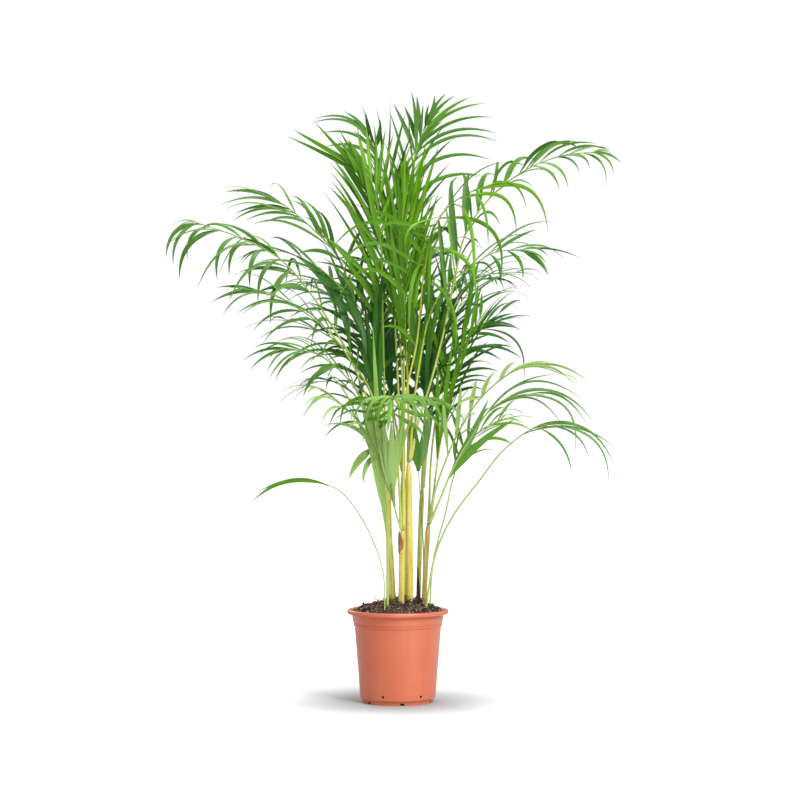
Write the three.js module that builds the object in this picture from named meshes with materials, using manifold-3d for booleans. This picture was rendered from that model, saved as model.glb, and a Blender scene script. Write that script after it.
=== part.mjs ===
// A young areca palm in a thin-walled nursery pot.
// Millimetres, +Z up, the front towards -Y. The origin is on the floor, under the
// middle of the plant's outer box. The plant grows as a clump: seven canes stand in
// the soil, and the stalks of the fronds stand on the cane tops or straight in the soil.

import * as THREE from 'three';
import { mergeVertices } from 'three/addons/utils/BufferGeometryUtils.js';
import Module from 'manifold-3d';

const wasm = await Module();
wasm.setup();

// ---- driving dimensions ----------------------------------------------------------

const GAP = 0.35; // clearance between pieces that touch on the real plant
const POT_HEIGHT = 173;
const RIM_RADIUS = 95;
const RIM_LIP = 8; // height of the out-turned lip
const BAND_TOP_RADIUS = 86;
const BAND_BOTTOM_RADIUS = 83;
const BAND_BOTTOM = 143;
const WALL_TOP_RADIUS = 81.2;
const WALL_BOTTOM_RADIUS = 70.8;
const WALL_BOTTOM = 12;
const WALL = 1.8; // thickness of the moulded plastic
const FOOT_RADIUS = 66;
const FOOT_WIDTH = 4;
const FLOOR_UNDERSIDE = 3.5;
const NOTCHES = 6;
const NOTCH_ANGLE = -83; // degrees, the first one, just right of the front
const NOTCH_WIDTH = 10;
const NOTCH_HEIGHT = 4.5;
const SIDE_HOLE_RADIUS = 2.5;
const SIDE_HOLE_Z = 16;
const FLOOR_HOLE_RADIUS = 5;
const FLOOR_HOLE_RING = 42;

const SOIL_EDGE = 168; // soil level at the wall
const SOIL_CROWN = 186; // top of the mound at the canes
const MOUND = [[62, 179], [38, 184], [16, SOIL_CROWN]]; // radius and height of the mound
const ROOT_DEPTH = 34; // how far canes and stalks go down into the soil

const ROUND_SEGMENTS = 28; // of the pot and of the soil in it
const CANE_SIDES = 9;
const CANE_STEPS = 5;
const CANE_SWELL = 0.6; // extra radius at a cane's foot
const STALK_SIDES = 4;
const STALK_STEPS = 9;
const STALK_TIP_RADIUS = 0.9;
const STALK_TAPER = 1.3; // above 1, a stalk keeps its thickness for longer
const LEAN_FROM = 0.6; // share of the bare stalk from which a frond's direction is taken
const BLADE_THICKNESS = 2;
const BLADE_STEPS = 3;
const BLADE_BEND = 1.5; // above 1, a blade bends more towards its tip
const BLADE_LEVELLING = 1.5; // how far a blade turns its flat side up, against its own
const BLADE_OUTLINE = [0.12, 1, 0.8, 0.16]; // width along a blade, as a share of its widest
const BLADE_GROWTH = 3; // a blade's corners move this much further out than its faces
const SHORTEST_LEAFLET = 0.5; // of a frond, as a share of its longest
const LEAFLET_SWELL = [0.22, 0.96]; // part of a half turn that the leaflets' lengths follow
const PAIR_STAGGER = 0.02; // how far the leaflets of a pair stand apart, along the frond
const LAST_LEAFLET = 0.99; // share of the route where the last leaflet can stand
const LEAFLET_CUTS = [1, 0.85, 0.7, 0.55, 0.4]; // lengths tried where leaflets crowd
const MERGE_WITHIN = 0.02; // small faces are merged where the surface moves less than this

const SHEATH_Z = 278; // the dried sheath's lower edge
const SHEATH_HEIGHT = 38;
const SHEATH_SHARE = 0.62; // how far up the front cane its middle is
const SHEATH_CLEARANCE = 0.6;
const SHEATH_THICKNESS = 1.2;
const SHEATH_ARC = [0.95, 1.85]; // where it starts and ends round the cane, in half turns

const STUB_AT = [38, -6];
const STUB_HEIGHT = 78;
const STUB_RADIUS = [4, 1]; // foot, tip
const STUB_DEPTH = 12; // how far its foot is below the mound's top

// ---- materials -------------------------------------------------------------------

const plain = (color, roughness) =>
  new THREE.MeshStandardMaterial({ color, roughness, metalness: 0 });

const MATERIALS = {
  terracotta: plain('#e2744f', 0.42),
  soil: plain('#3d2b22', 0.95),
  wood: plain('#4a3729', 0.85),
  sheath: plain('#6b4226', 0.8),
  cane: plain('#dfcf6e', 0.5),
  bright: plain('#6fae2c', 0.45),
  mid: plain('#4b8a2a', 0.45),
  dark: plain('#2a5c22', 0.45),
  pale: plain('#9cc66a', 0.5),
};

// ---- canes: the bundled sheaths that stand in the soil ------------------------------

const CANES = {
  cane_front: { base: [6, -40], top: [9, -38, 325], radius: [5.8, 5.6] },
  cane_thick: { base: [23, -12], top: [20, -8, 450], radius: [6.8, 5.6] },
  cane_left: { base: [-6, -22], top: [-25, -14, 407], radius: [4.2, 5] },
  cane_back_left: { base: [-14, 16], top: [-18, 30, 400], radius: [5, 5] },
  cane_back: { base: [12, 30], top: [10, 46, 430], radius: [5.4, 5.2] },
  cane_right: { base: [48, -14], top: [57, -20, 335], radius: [4.8, 5] },
  cane_back_right: { base: [38, 14], top: [46, 26, 400], radius: [4.4, 4.6] },
};

// ---- fronds ------------------------------------------------------------------------
// on: the cane that the stalk stands on, or null where it grows from the soil
// route: points that the stalk and the midrib pass through, from the foot to the end
// bare: share of the route without leaflets;  pairs: pairs of leaflets
// blade: [length, width] of the longest leaflet
// angle: [first, last] angle between leaflet and midrib, in degrees
// lift: how far leaflets rise above the frond's own plane, in degrees
// droop: how strongly leaflets bend down towards their tips
// face: turns the frond about its midrib, in degrees

const FRONDS = {
  left_long: {
    on: 'cane_left', stalk: 2.6, bare: 0.47, pairs: 8, blade: [185, 14], tone: 'mid',
    angle: [54, 20], lift: 10, droop: 1.3, face: -30,
    route: [[-44, -24, 560], [-80, -36, 632], [-124, -46, 706], [-163, -52, 764],
      [-217, -60, 825], [-295, -66, 866], [-373, -70, 893]],
  },
  left_upper: {
    on: 'cane_back_left', stalk: 2.6, bare: 0.5, pairs: 7, blade: [170, 14], tone: 'mid',
    angle: [48, 20], lift: 14, droop: 0.8, face: -28,
    route: [[-32, 38, 520], [-64, 52, 690], [-115, 64, 838], [-161, 72, 890],
      [-218, 80, 938], [-262, 84, 962]],
  },
  left_middle: {
    on: 'cane_left', stalk: 2.3, bare: 0.5, pairs: 6, blade: [165, 13], tone: 'dark',
    angle: [50, 20], lift: 12, droop: 0.9, face: -26,
    route: [[-38, -4, 520], [-62, 4, 680], [-92, 8, 756], [-150, 12, 814],
      [-208, 14, 842], [-248, 14, 848]],
  },
  left_front: {
    on: 'cane_left', stalk: 2.3, bare: 0.45, pairs: 7, blade: [160, 13], tone: 'mid',
    angle: [52, 20], lift: 12, droop: 1.0, face: -30,
    route: [[-46, -48, 530], [-82, -76, 628], [-124, -98, 688], [-160, -112, 718],
      [-204, -124, 746], [-270, -136, 766]],
  },
  left_drop: {
    on: 'cane_back_left', stalk: 2.2, bare: 0.5, pairs: 6, blade: [150, 13], tone: 'dark',
    angle: [52, 22], lift: 8, droop: 1.1, face: -24,
    route: [[-40, 56, 550], [-80, 74, 640], [-116, 84, 676], [-161, 94, 702],
      [-222, 104, 722]],
  },
  left_low: {
    on: 'cane_left', stalk: 2.2, bare: 0.42, pairs: 6, blade: [150, 13], tone: 'mid',
    angle: [54, 22], lift: 10, droop: 1.1, face: -28,
    route: [[-44, -44, 490], [-80, -72, 588], [-132, -98, 640], [-157, -110, 652],
      [-203, -126, 658]],
  },
  left_lowest: {
    on: 'cane_back_left', stalk: 2.0, bare: 0.45, pairs: 5, blade: [140, 12], tone: 'dark',
    angle: [52, 22], lift: 8, droop: 1.1, face: -20,
    route: [[-36, 62, 480], [-84, 96, 576], [-122, 116, 600], [-162, 132, 600]],
  },
  left_pale: {
    on: null, stalk: 3.0, bare: 0.62, pairs: 6, blade: [150, 14], tone: 'pale',
    angle: [50, 22], lift: 12, droop: 1.1, face: -30,
    route: [[-19, -48, 190], [-21, -52, 340], [-36, -58, 440], [-49, -66, 488],
      [-70, -78, 522], [-102, -94, 556], [-141, -112, 584]],
  },
  left_lone: {
    on: null, stalk: 1.4, bare: 0.86, pairs: 1, blade: [128, 13], tone: 'bright',
    angle: [14, 14], lift: 0, droop: 0.45,
    route: [[-24, -60, 190], [-27, -62, 245], [-46, -66, 306], [-78, -72, 365],
      [-106, -78, 397], [-130, -82, 409], [-152, -84, 414]],
  },
  left_small: {
    on: 'cane_left', stalk: 1.6, bare: 0.5, pairs: 2, blade: [58, 14], tone: 'mid',
    angle: [50, 30], lift: 0, droop: 2.2,
    route: [[-34, -30, 440], [-42, -40, 466], [-52, -52, 484]],
  },
  front_arch: {
    on: 'cane_front', stalk: 2.3, bare: 0.6, pairs: 6, blade: [135, 15], tone: 'bright',
    angle: [70, 28], lift: 14, droop: 1.5,
    route: [[0, -46, 440], [-8, -60, 520], [-10, -88, 558], [-10, -128, 572],
      [-9, -176, 566]],
  },
  front_tall: {
    on: 'cane_front', stalk: 2.5, bare: 0.5, pairs: 7, blade: [180, 15], tone: 'bright',
    angle: [54, 22], lift: 16, droop: 1.0, face: 20,
    route: [[14, -48, 565], [35, -66, 672], [49, -94, 805], [65, -124, 874],
      [89, -154, 912], [134, -204, 938], [164, -246, 944]],
  },
  right_middle: {
    on: 'cane_thick', stalk: 2.3, bare: 0.5, pairs: 7, blade: [165, 13], tone: 'mid',
    angle: [50, 20], lift: 16, droop: 1.0, face: 28,
    route: [[31, -26, 568], [45, -38, 661], [57, -48, 715], [86, -58, 772],
      [127, -66, 804], [176, -74, 836], [233, -82, 842]],
  },
  centre_spear: {
    on: 'cane_thick', stalk: 2.6, bare: 0.62, pairs: 6, blade: [200, 17], tone: 'bright',
    angle: [26, 14], lift: 6, droop: 0.1, face: 90,
    route: [[20, 2, 560], [14, 8, 700], [9, 10, 850], [8, 8, 925]],
  },
  top_right: {
    on: 'cane_back', stalk: 2.6, bare: 0.68, pairs: 8, blade: [170, 11], tone: 'mid',
    angle: [40, 18], lift: 8, droop: 0.5, face: 80,
    route: [[11, 52, 560], [14, 60, 760], [24, 70, 920], [32, 80, 1025],
      [41, 86, 1060], [53, 92, 1092]],
  },
  left_bright: {
    on: 'cane_back_left', stalk: 2.5, bare: 0.64, pairs: 7, blade: [200, 14], tone: 'bright',
    angle: [34, 18], lift: 8, droop: 0.3, face: 90,
    route: [[-24, 26, 520], [-28, 18, 700], [-32, 14, 860], [-44, 12, 960],
      [-66, 12, 1008]],
  },
  top_left: {
    on: 'cane_back', stalk: 2.5, bare: 0.66, pairs: 7, blade: [160, 12], tone: 'mid',
    angle: [42, 20], lift: 8, droop: 0.5, face: 80,
    route: [[0, 60, 600], [-12, 78, 820], [-28, 98, 1000], [-58, 114, 1074]],
  },
  pale_broad: {
    on: 'cane_front', stalk: 2.0, bare: 0.55, pairs: 2, blade: [130, 24], tone: 'pale',
    angle: [12, 8], lift: 0, droop: 0.3, face: 90,
    route: [[-2, -50, 350], [-9, -58, 385], [-13, -64, 410]],
  },
  young_dark: {
    on: null, stalk: 1.6, bare: 0.94, pairs: 1, blade: [118, 20], tone: 'dark',
    angle: [16, 16], lift: 0, droop: 0.1, face: 90,
    route: [[47, 2, 190], [48, 4, 282], [44, 4, 350], [39, 2, 425], [38, 2, 436]],
  },
  right_long: {
    on: 'cane_thick', stalk: 2.6, bare: 0.52, pairs: 9, blade: [165, 12], tone: 'mid',
    angle: [54, 20], lift: 22, droop: 1.2, face: 30,
    route: [[38, -2, 525], [56, 2, 580], [82, 4, 676], [106, 4, 790], [128, 2, 880],
      [172, -2, 943], [230, -8, 990], [304, -16, 1021], [370, -22, 1028]],
  },
  right_thin: {
    on: 'cane_back_right', stalk: 2.2, bare: 0.52, pairs: 7, blade: [150, 12], tone: 'dark',
    angle: [48, 20], lift: 16, droop: 0.8, face: 24,
    route: [[56, 34, 580], [71, 40, 641], [90, 44, 701], [129, 50, 780],
      [166, 54, 802], [228, 60, 808]],
  },
  right_dark: {
    on: 'cane_right', stalk: 2.2, bare: 0.55, pairs: 6, blade: [145, 13], tone: 'dark',
    angle: [50, 22], lift: 10, droop: 0.9, face: 24,
    route: [[62, 6, 450], [70, 28, 520], [84, 48, 602], [121, 68, 670], [162, 80, 708],
      [196, 86, 732]],
  },
  right_bright: {
    on: 'cane_right', stalk: 2.2, bare: 0.5, pairs: 5, blade: [160, 15], tone: 'bright',
    angle: [38, 20], lift: 18, droop: 0.4, face: 20,
    route: [[74, -14, 450], [81, -10, 493], [97, -4, 547], [110, 2, 614], [126, 6, 664],
      [156, 10, 722]],
  },
  right_light: {
    on: 'cane_right', stalk: 2.2, bare: 0.38, pairs: 7, blade: [145, 13], tone: 'pale',
    angle: [54, 24], lift: 34, droop: 0.8, face: 30,
    route: [[68, -26, 390], [93, -32, 463], [109, -36, 498], [133, -40, 540],
      [154, -44, 569], [187, -52, 600], [223, -60, 622], [260, -70, 626],
      [305, -80, 612]],
  },
  right_broad: {
    on: 'cane_right', stalk: 2.2, bare: 0.36, pairs: 7, blade: [145, 14], tone: 'mid',
    angle: [46, 24], lift: 20, droop: 1.0, face: 28,
    route: [[72, -40, 366], [96, -56, 425], [111, -66, 457], [139, -80, 503],
      [164, -92, 541], [194, -104, 564], [230, -116, 575], [266, -128, 575]],
  },
  right_lowest: {
    on: null, stalk: 2.2, bare: 0.52, pairs: 7, blade: [130, 13], tone: 'mid',
    angle: [52, 24], lift: 20, droop: 1.1, face: 26,
    route: [[49, -32, 190], [65, -44, 261], [80, -52, 308], [105, -62, 356],
      [152, -74, 419], [186, -84, 464], [222, -94, 497], [252, -102, 514],
      [299, -112, 518]],
  },
  right_inner: {
    on: null, stalk: 1.8, bare: 0.7, pairs: 6, blade: [130, 13], tone: 'bright',
    angle: [46, 24], lift: 14, droop: 0.8, face: 20,
    route: [[58, -18, 190], [66, -14, 262], [75, -10, 302], [90, -4, 356], [101, 2, 408],
      [120, 14, 462], [154, 30, 506], [198, 48, 530]],
  },
  back: {
    on: 'cane_back', stalk: 2.5, bare: 0.52, pairs: 7, blade: [175, 14], tone: 'dark',
    angle: [52, 22], lift: 16, droop: 0.85,
    route: [[10, 66, 560], [4, 98, 690], [0, 146, 800], [-4, 204, 862], [-8, 258, 878]],
  },
  back_right: {
    on: 'cane_back_right', stalk: 2.3, bare: 0.5, pairs: 7, blade: [165, 14], tone: 'dark',
    angle: [52, 22], lift: 14, droop: 1.0, face: 10,
    route: [[62, 66, 520], [88, 118, 664], [122, 176, 752], [158, 226, 800],
      [192, 262, 806]],
  },
  back_left: {
    on: 'cane_back_left', stalk: 2.3, bare: 0.5, pairs: 7, blade: [165, 14], tone: 'dark',
    angle: [52, 22], lift: 14, droop: 1.0, face: -10,
    route: [[-26, 76, 520], [-56, 126, 660], [-92, 182, 744], [-132, 226, 790],
      [-168, 262, 798]],
  },
  inner_left: {
    on: 'cane_back', stalk: 2.2, bare: 0.55, pairs: 5, blade: [165, 15], tone: 'dark',
    angle: [44, 22], lift: 12, droop: 0.8, face: -20,
    route: [[-4, 70, 520], [-34, 100, 650], [-66, 124, 730], [-102, 145, 778]],
  },
  inner_right: {
    on: 'cane_back_right', stalk: 2.2, bare: 0.55, pairs: 5, blade: [165, 15], tone: 'dark',
    angle: [44, 22], lift: 12, droop: 0.8, face: 20,
    route: [[50, 62, 520], [60, 88, 640], [78, 112, 730], [108, 134, 790]],
  },
};

// ---- solids ------------------------------------------------------------------------

function toSolid(geometry) {
  const bare = geometry.clone();
  bare.deleteAttribute('normal');
  bare.deleteAttribute('uv');
  const merged = mergeVertices(bare, 1e-4);
  return new wasm.Manifold(new wasm.Mesh({
    numProp: 3,
    vertProperties: new Float32Array(merged.attributes.position.array),
    triVerts: new Uint32Array(merged.index.array),
  }));
}

function toGeometry(solid) {
  const mesh = solid.getMesh();
  const geometry = new THREE.BufferGeometry();
  geometry.setAttribute('position', new THREE.BufferAttribute(mesh.vertProperties, 3));
  geometry.setIndex(new THREE.BufferAttribute(mesh.triVerts, 1));
  geometry.computeVertexNormals();
  return geometry;
}

const largestBody = (solid) =>
  solid.decompose().reduce((best, body) => (body.volume() > best.volume() ? body : best));

const boxesMeet = (a, b) => {
  const [p, q] = [a.boundingBox(), b.boundingBox()];
  return [0, 1, 2].every((i) => p.min[i] <= q.max[i] && q.min[i] <= p.max[i]);
};

const meet = (a, b) => boxesMeet(a, b) && !a.intersect(b).isEmpty();

function clearOf(solid, grownNeighbours) {
  let left = solid;
  for (const other of grownNeighbours) {
    if (boxesMeet(left, other)) left = left.subtract(other);
  }
  return largestBody(left);
}

// A path that carries its own section frames, so that an extrusion along it can taper
// and keep the turn that it is given. Each frame is { wide, high }, two vectors.
class FramedPath extends THREE.Curve {
  constructor(points, frames) {
    super();
    this.points = points;
    this.frames = frames;
  }

  getPoint(t) {
    const last = this.points.length - 1;
    const i = Math.min(Math.floor(t * last + 1e-6), last - 1);
    return this.points[i].clone().lerp(this.points[i + 1], t * last - i);
  }

  getSpacedPoints(steps) {
    return Array.from({ length: steps + 1 }, (_, i) => this.getPoint(i / steps));
  }

  computeFrenetFrames() {
    return {
      tangents: this.points,
      normals: this.frames.map((frame) => frame.wide),
      binormals: this.frames.map((frame) => frame.high),
    };
  }
}

function sweep(section, points, frames) {
  const path = new FramedPath(points, frames);
  const options = { steps: points.length - 1, extrudePath: path, bevelEnabled: false };
  return toSolid(new THREE.ExtrudeGeometry(section, options));
}

function roundSection(sides) {
  const corners = Array.from({ length: sides }, (_, i) => {
    const turn = (2 * Math.PI * i) / sides;
    return new THREE.Vector2(Math.cos(turn), Math.sin(turn));
  });
  return new THREE.Shape(corners);
}

// A blade is a keel: a flat upper face and a ridge along the midrib below it.
const KEEL = new THREE.Shape([
  new THREE.Vector2(-0.5, 0.4), new THREE.Vector2(0, -0.6), new THREE.Vector2(0.5, 0.4),
]);

// ---- pot ---------------------------------------------------------------------------

function lathe(profile, segments) {
  const points = profile.map(([r, z]) => new THREE.Vector2(r, z));
  const geometry = new THREE.LatheGeometry(points, segments);
  return toSolid(geometry.rotateX(Math.PI / 2));
}

function aroundAxis(count, firstAngle, make) {
  return Array.from({ length: count }, (_, i) =>
    make().rotateZ(THREE.MathUtils.degToRad(firstAngle + (360 * i) / count)));
}

const POT_INSIDE = [
  [FOOT_RADIUS - 1, FLOOR_UNDERSIDE + WALL],
  [WALL_BOTTOM_RADIUS - WALL, WALL_BOTTOM + WALL],
  [WALL_TOP_RADIUS - WALL, BAND_BOTTOM],
  [BAND_BOTTOM_RADIUS - WALL, BAND_BOTTOM + 1.5],
  [BAND_TOP_RADIUS - WALL, POT_HEIGHT - RIM_LIP - 4],
];

function pot() {
  const shell = lathe([
    [0, FLOOR_UNDERSIDE],
    [FOOT_RADIUS - FOOT_WIDTH, FLOOR_UNDERSIDE],
    [FOOT_RADIUS - FOOT_WIDTH, 0],
    [FOOT_RADIUS, 0],
    [FOOT_RADIUS + 0.6, WALL_BOTTOM - 5],
    [WALL_BOTTOM_RADIUS - 0.8, WALL_BOTTOM - 4],
    [WALL_BOTTOM_RADIUS, WALL_BOTTOM],
    [WALL_TOP_RADIUS, BAND_BOTTOM - 1],
    [BAND_BOTTOM_RADIUS, BAND_BOTTOM],
    [BAND_TOP_RADIUS, POT_HEIGHT - RIM_LIP - 4],
    [RIM_RADIUS - 2, POT_HEIGHT - RIM_LIP],
    [RIM_RADIUS, POT_HEIGHT - RIM_LIP + 2],
    [RIM_RADIUS, POT_HEIGHT - 2],
    [RIM_RADIUS - 2.4, POT_HEIGHT],
    [RIM_RADIUS - 6, POT_HEIGHT - 2],
    ...[...POT_INSIDE].reverse(),
    [0, FLOOR_UNDERSIDE + WALL],
  ], ROUND_SEGMENTS);
  const notches = aroundAxis(NOTCHES, NOTCH_ANGLE, () =>
    new THREE.BoxGeometry(3 * FOOT_WIDTH, NOTCH_WIDTH, 2 * NOTCH_HEIGHT)
      .translate(FOOT_RADIUS, 0, 0));
  const sideHoles = aroundAxis(NOTCHES, NOTCH_ANGLE - 30, () =>
    new THREE.CylinderGeometry(SIDE_HOLE_RADIUS, SIDE_HOLE_RADIUS, 20, 6)
      .rotateZ(Math.PI / 2)
      .translate(WALL_BOTTOM_RADIUS, 0, SIDE_HOLE_Z));
  const floorHoles = aroundAxis(NOTCHES, NOTCH_ANGLE, () =>
    new THREE.CylinderGeometry(FLOOR_HOLE_RADIUS, FLOOR_HOLE_RADIUS, 20, 8)
      .rotateX(Math.PI / 2)
      .translate(FLOOR_HOLE_RING, 0, FLOOR_UNDERSIDE));
  return [...notches, ...sideHoles, ...floorHoles]
    .reduce((body, cutter) => body.subtract(toSolid(cutter)), shell);
}

function soil() {
  const inside = POT_INSIDE.map(([r, z]) => [r - GAP, z]);
  return lathe([
    [0, FLOOR_UNDERSIDE + WALL + GAP],
    [inside[0][0] - 1, FLOOR_UNDERSIDE + WALL + GAP],
    ...inside.slice(1, 4),
    [BAND_TOP_RADIUS - WALL - 2 * GAP, POT_HEIGHT - RIM_LIP - 6],
    [BAND_TOP_RADIUS - WALL - 2 * GAP, SOIL_EDGE],
    [BAND_TOP_RADIUS - WALL - 8, SOIL_EDGE + 6],
    ...MOUND,
    [0, SOIL_CROWN],
  ], ROUND_SEGMENTS);
}

// ---- canes -------------------------------------------------------------------------

function cane(spec, grow) {
  const [x, y] = spec.base;
  const foot = new THREE.Vector3(x, y, SOIL_CROWN - ROOT_DEPTH - grow);
  const top = new THREE.Vector3(...spec.top).add(new THREE.Vector3(0, 0, grow));
  const points = [];
  const frames = [];
  for (let i = 0; i <= CANE_STEPS; i += 1) {
    const t = i / CANE_STEPS;
    const swell = i === 0 ? CANE_SWELL : 0;
    const radius = THREE.MathUtils.lerp(spec.radius[0], spec.radius[1], t) + swell + grow;
    const lean = t * t; // a cane stands upright at first and leans over towards its top
    points.push(new THREE.Vector3(
      THREE.MathUtils.lerp(foot.x, top.x, (t + lean) / 2),
      THREE.MathUtils.lerp(foot.y, top.y, (t + lean) / 2),
      THREE.MathUtils.lerp(foot.z, top.z, t),
    ));
    frames.push({
      wide: new THREE.Vector3(radius, 0, 0),
      high: new THREE.Vector3(0, radius, 0),
    });
  }
  return sweep(roundSection(CANE_SIDES), points, frames);
}

// ---- fronds ------------------------------------------------------------------------

// The foot of a stalk stands on the cane's top, off centre towards where it goes.
function frondCurve(spec) {
  const route = spec.route.map((point) => new THREE.Vector3(...point));
  if (spec.on === null) {
    route[0].z = SOIL_CROWN - ROOT_DEPTH;
    return new THREE.CatmullRomCurve3(route, false, 'centripetal');
  }
  const { top, radius } = CANES[spec.on];
  const foot = new THREE.Vector3(...top);
  const away = route[0].clone().sub(foot).setZ(0).normalize();
  foot.addScaledVector(away, radius[1] - spec.stalk);
  return new THREE.CatmullRomCurve3([foot, ...route], false, 'centripetal');
}

// Three unit vectors at a place on the frond: along its midrib, to its side, and out
// of its upper face.
function frondAxes(curve, t, spec) {
  const along = curve.getTangentAt(t);
  const start = curve.getPointAt(spec.bare * LEAN_FROM);
  const outward = curve.getPointAt(1).sub(start).setZ(0).normalize();
  const side = new THREE.Vector3(-outward.y, outward.x, 0);
  side.addScaledVector(along, -side.dot(along)).normalize();
  side.applyAxisAngle(along, THREE.MathUtils.degToRad(spec.face ?? 0));
  const up = new THREE.Vector3().crossVectors(along, side).normalize();
  return { along, side, up };
}

function stalk(curve, spec, grow) {
  const points = [];
  const frames = [];
  const cornerGrow = grow / Math.cos(Math.PI / STALK_SIDES);
  for (let i = 0; i <= STALK_STEPS; i += 1) {
    const t = i / STALK_STEPS;
    const { along, side, up } = frondAxes(curve, t, { ...spec, face: 0 });
    const taper = t ** STALK_TAPER;
    const radius = THREE.MathUtils.lerp(spec.stalk, STALK_TIP_RADIUS, taper) + cornerGrow;
    const beyond = { 0: -grow, [STALK_STEPS]: grow }[i] ?? 0;
    points.push(curve.getPointAt(t).addScaledVector(along, beyond));
    frames.push({ wide: side.multiplyScalar(radius), high: up.multiplyScalar(radius) });
  }
  return sweep(roundSection(STALK_SIDES), points, frames);
}

function blade(start, heading, across, size, spec, grow) {
  const [length, width] = spec.blade;
  const points = [start.clone()];
  const frames = [];
  const down = new THREE.Vector3(0, 0, -1);
  const flat = across.clone().addScaledVector(heading, -across.dot(heading)).normalize();
  const level = new THREE.Vector3().crossVectors(heading, down).normalize();
  flat.addScaledVector(level, BLADE_LEVELLING * Math.sign(level.dot(flat)));
  const stride = (length * size + 2 * grow) / BLADE_STEPS;
  for (let i = 0; i <= BLADE_STEPS; i += 1) {
    const bend = spec.droop * (i / BLADE_STEPS) ** BLADE_BEND;
    const along = heading.clone().addScaledVector(down, bend).normalize();
    const wide = flat.clone().addScaledVector(along, -flat.dot(along)).normalize();
    const high = new THREE.Vector3().crossVectors(along, wide);
    if (i > 0) points.push(points[i - 1].clone().addScaledVector(along, stride));
    wide.multiplyScalar(width * BLADE_OUTLINE[i] + BLADE_GROWTH * grow);
    high.multiplyScalar(BLADE_THICKNESS + BLADE_GROWTH * grow);
    frames.push({ wide, high });
  }
  return sweep(KEEL, points, frames);
}

// Leaflets are longest in the middle of a frond.
function leafletSize(share) {
  const turn = Math.PI * THREE.MathUtils.lerp(...LEAFLET_SWELL, share);
  return THREE.MathUtils.lerp(SHORTEST_LEAFLET, 1, Math.sin(turn));
}

// Makes each leaflet as long as the pieces already in place leave room for.
function leaflets(curve, spec, inPlace) {
  const lift = THREE.MathUtils.degToRad(spec.lift);
  const blades = [];
  for (let pair = 0; pair < spec.pairs; pair += 1) {
    const share = spec.pairs > 1 ? pair / (spec.pairs - 1) : 0;
    const turn = THREE.MathUtils.degToRad(
      THREE.MathUtils.lerp(spec.angle[0], spec.angle[1], share));
    const size = leafletSize(share);
    for (const hand of [-1, 1]) {
      const place = spec.bare + (1 - spec.bare) * (share + PAIR_STAGGER * hand);
      const t = Math.min(place, LAST_LEAFLET);
      const { along, side, up } = frondAxes(curve, t, spec);
      const heading = along.clone().multiplyScalar(Math.cos(turn));
      heading.addScaledVector(side, hand * Math.sin(turn) * Math.cos(lift));
      heading.addScaledVector(up, Math.sin(turn) * Math.sin(lift));
      const make = (cut, grow) =>
        blade(curve.getPointAt(t), heading, along, size * cut, spec, grow);
      const cut = LEAFLET_CUTS.find((c) => !inPlace.some((other) => meet(make(c, GAP), other)));
      if (cut !== undefined) blades.push(make(cut, 0));
    }
  }
  return blades;
}

// ---- loose and dead pieces -----------------------------------------------------------

// A dried sheath still clasping the front cane: a gutter open towards the back.
function driedSheath() {
  const { base, top, radius } = CANES.cane_front;
  const inner = radius[0] + SHEATH_CLEARANCE;
  const [from, to] = SHEATH_ARC.map((halfTurns) => Math.PI * halfTurns);
  const outline = new THREE.Shape();
  outline.absarc(0, 0, inner + SHEATH_THICKNESS, from, to, false);
  outline.absarc(0, 0, inner, to, from, true);
  const geometry = new THREE.ExtrudeGeometry(outline, {
    depth: SHEATH_HEIGHT, bevelEnabled: false, curveSegments: 8,
  });
  geometry.translate(
    THREE.MathUtils.lerp(base[0], top[0], SHEATH_SHARE) - SHEATH_CLEARANCE / 2,
    THREE.MathUtils.lerp(base[1], top[1], SHEATH_SHARE) - SHEATH_CLEARANCE / 2,
    SHEATH_Z,
  );
  return toSolid(geometry);
}

// The dead, dark foot of an old sheath, standing in the soil beside the right cane.
function deadStub(grow) {
  const [foot, tip] = STUB_RADIUS;
  const height = STUB_HEIGHT + 2 * grow;
  return toSolid(new THREE.CylinderGeometry(tip + grow, foot + grow, height, 8)
    .rotateX(Math.PI / 2)
    .translate(...STUB_AT, SOIL_CROWN - STUB_DEPTH + STUB_HEIGHT / 2));
}

// A bit of twig with one end in the soil, in front of the left stalks.
function twig(grow) {
  const points = [[-14 + grow, -58, 168 - grow], [-27, -60, 186], [-44, -62, 200]]
    .map((point) => new THREE.Vector3(...point));
  const frames = [1.5, 1.3, 0.7].map((radius) => ({
    wide: new THREE.Vector3(0, radius + grow, 0),
    high: new THREE.Vector3(-0.5, 0, -1).normalize().multiplyScalar(radius + grow),
  }));
  return sweep(roundSection(6), points, frames);
}

// ---- the plant, each piece cut clear of the pieces made before it ------------------------

const palm = new THREE.Group();

function addPiece(name, solid, material) {
  const mesh = new THREE.Mesh(toGeometry(solid), MATERIALS[material]);
  mesh.name = name;
  palm.add(mesh);
}

addPiece('pot', pot(), 'terracotta');

const grown = []; // the pieces made so far, thicker by the gap
const woody = [driedSheath(), deadStub(0), twig(0)];
for (const [name, spec] of Object.entries(CANES)) {
  const solid = clearOf(cane(spec, 0), grown);
  addPiece(name, solid, 'cane');
  woody.push(solid);
  grown.push(cane(spec, GAP));
}
addPiece('dried_sheath', clearOf(driedSheath(), grown), 'sheath');
addPiece('dead_stub', clearOf(deadStub(0), grown), 'sheath');
addPiece('twig', clearOf(twig(0), grown), 'wood');
grown.push(deadStub(GAP), twig(GAP));

// The stalks come first, so that no leaflet of an earlier frond takes a later one's way.
const stalks = {};
for (const [name, spec] of Object.entries(FRONDS)) {
  stalks[name] = clearOf(stalk(frondCurve(spec), spec, 0), grown);
  grown.push(stalk(frondCurve(spec), spec, GAP));
}
addPiece('soil', clearOf(soil(), grown), 'soil');

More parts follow.
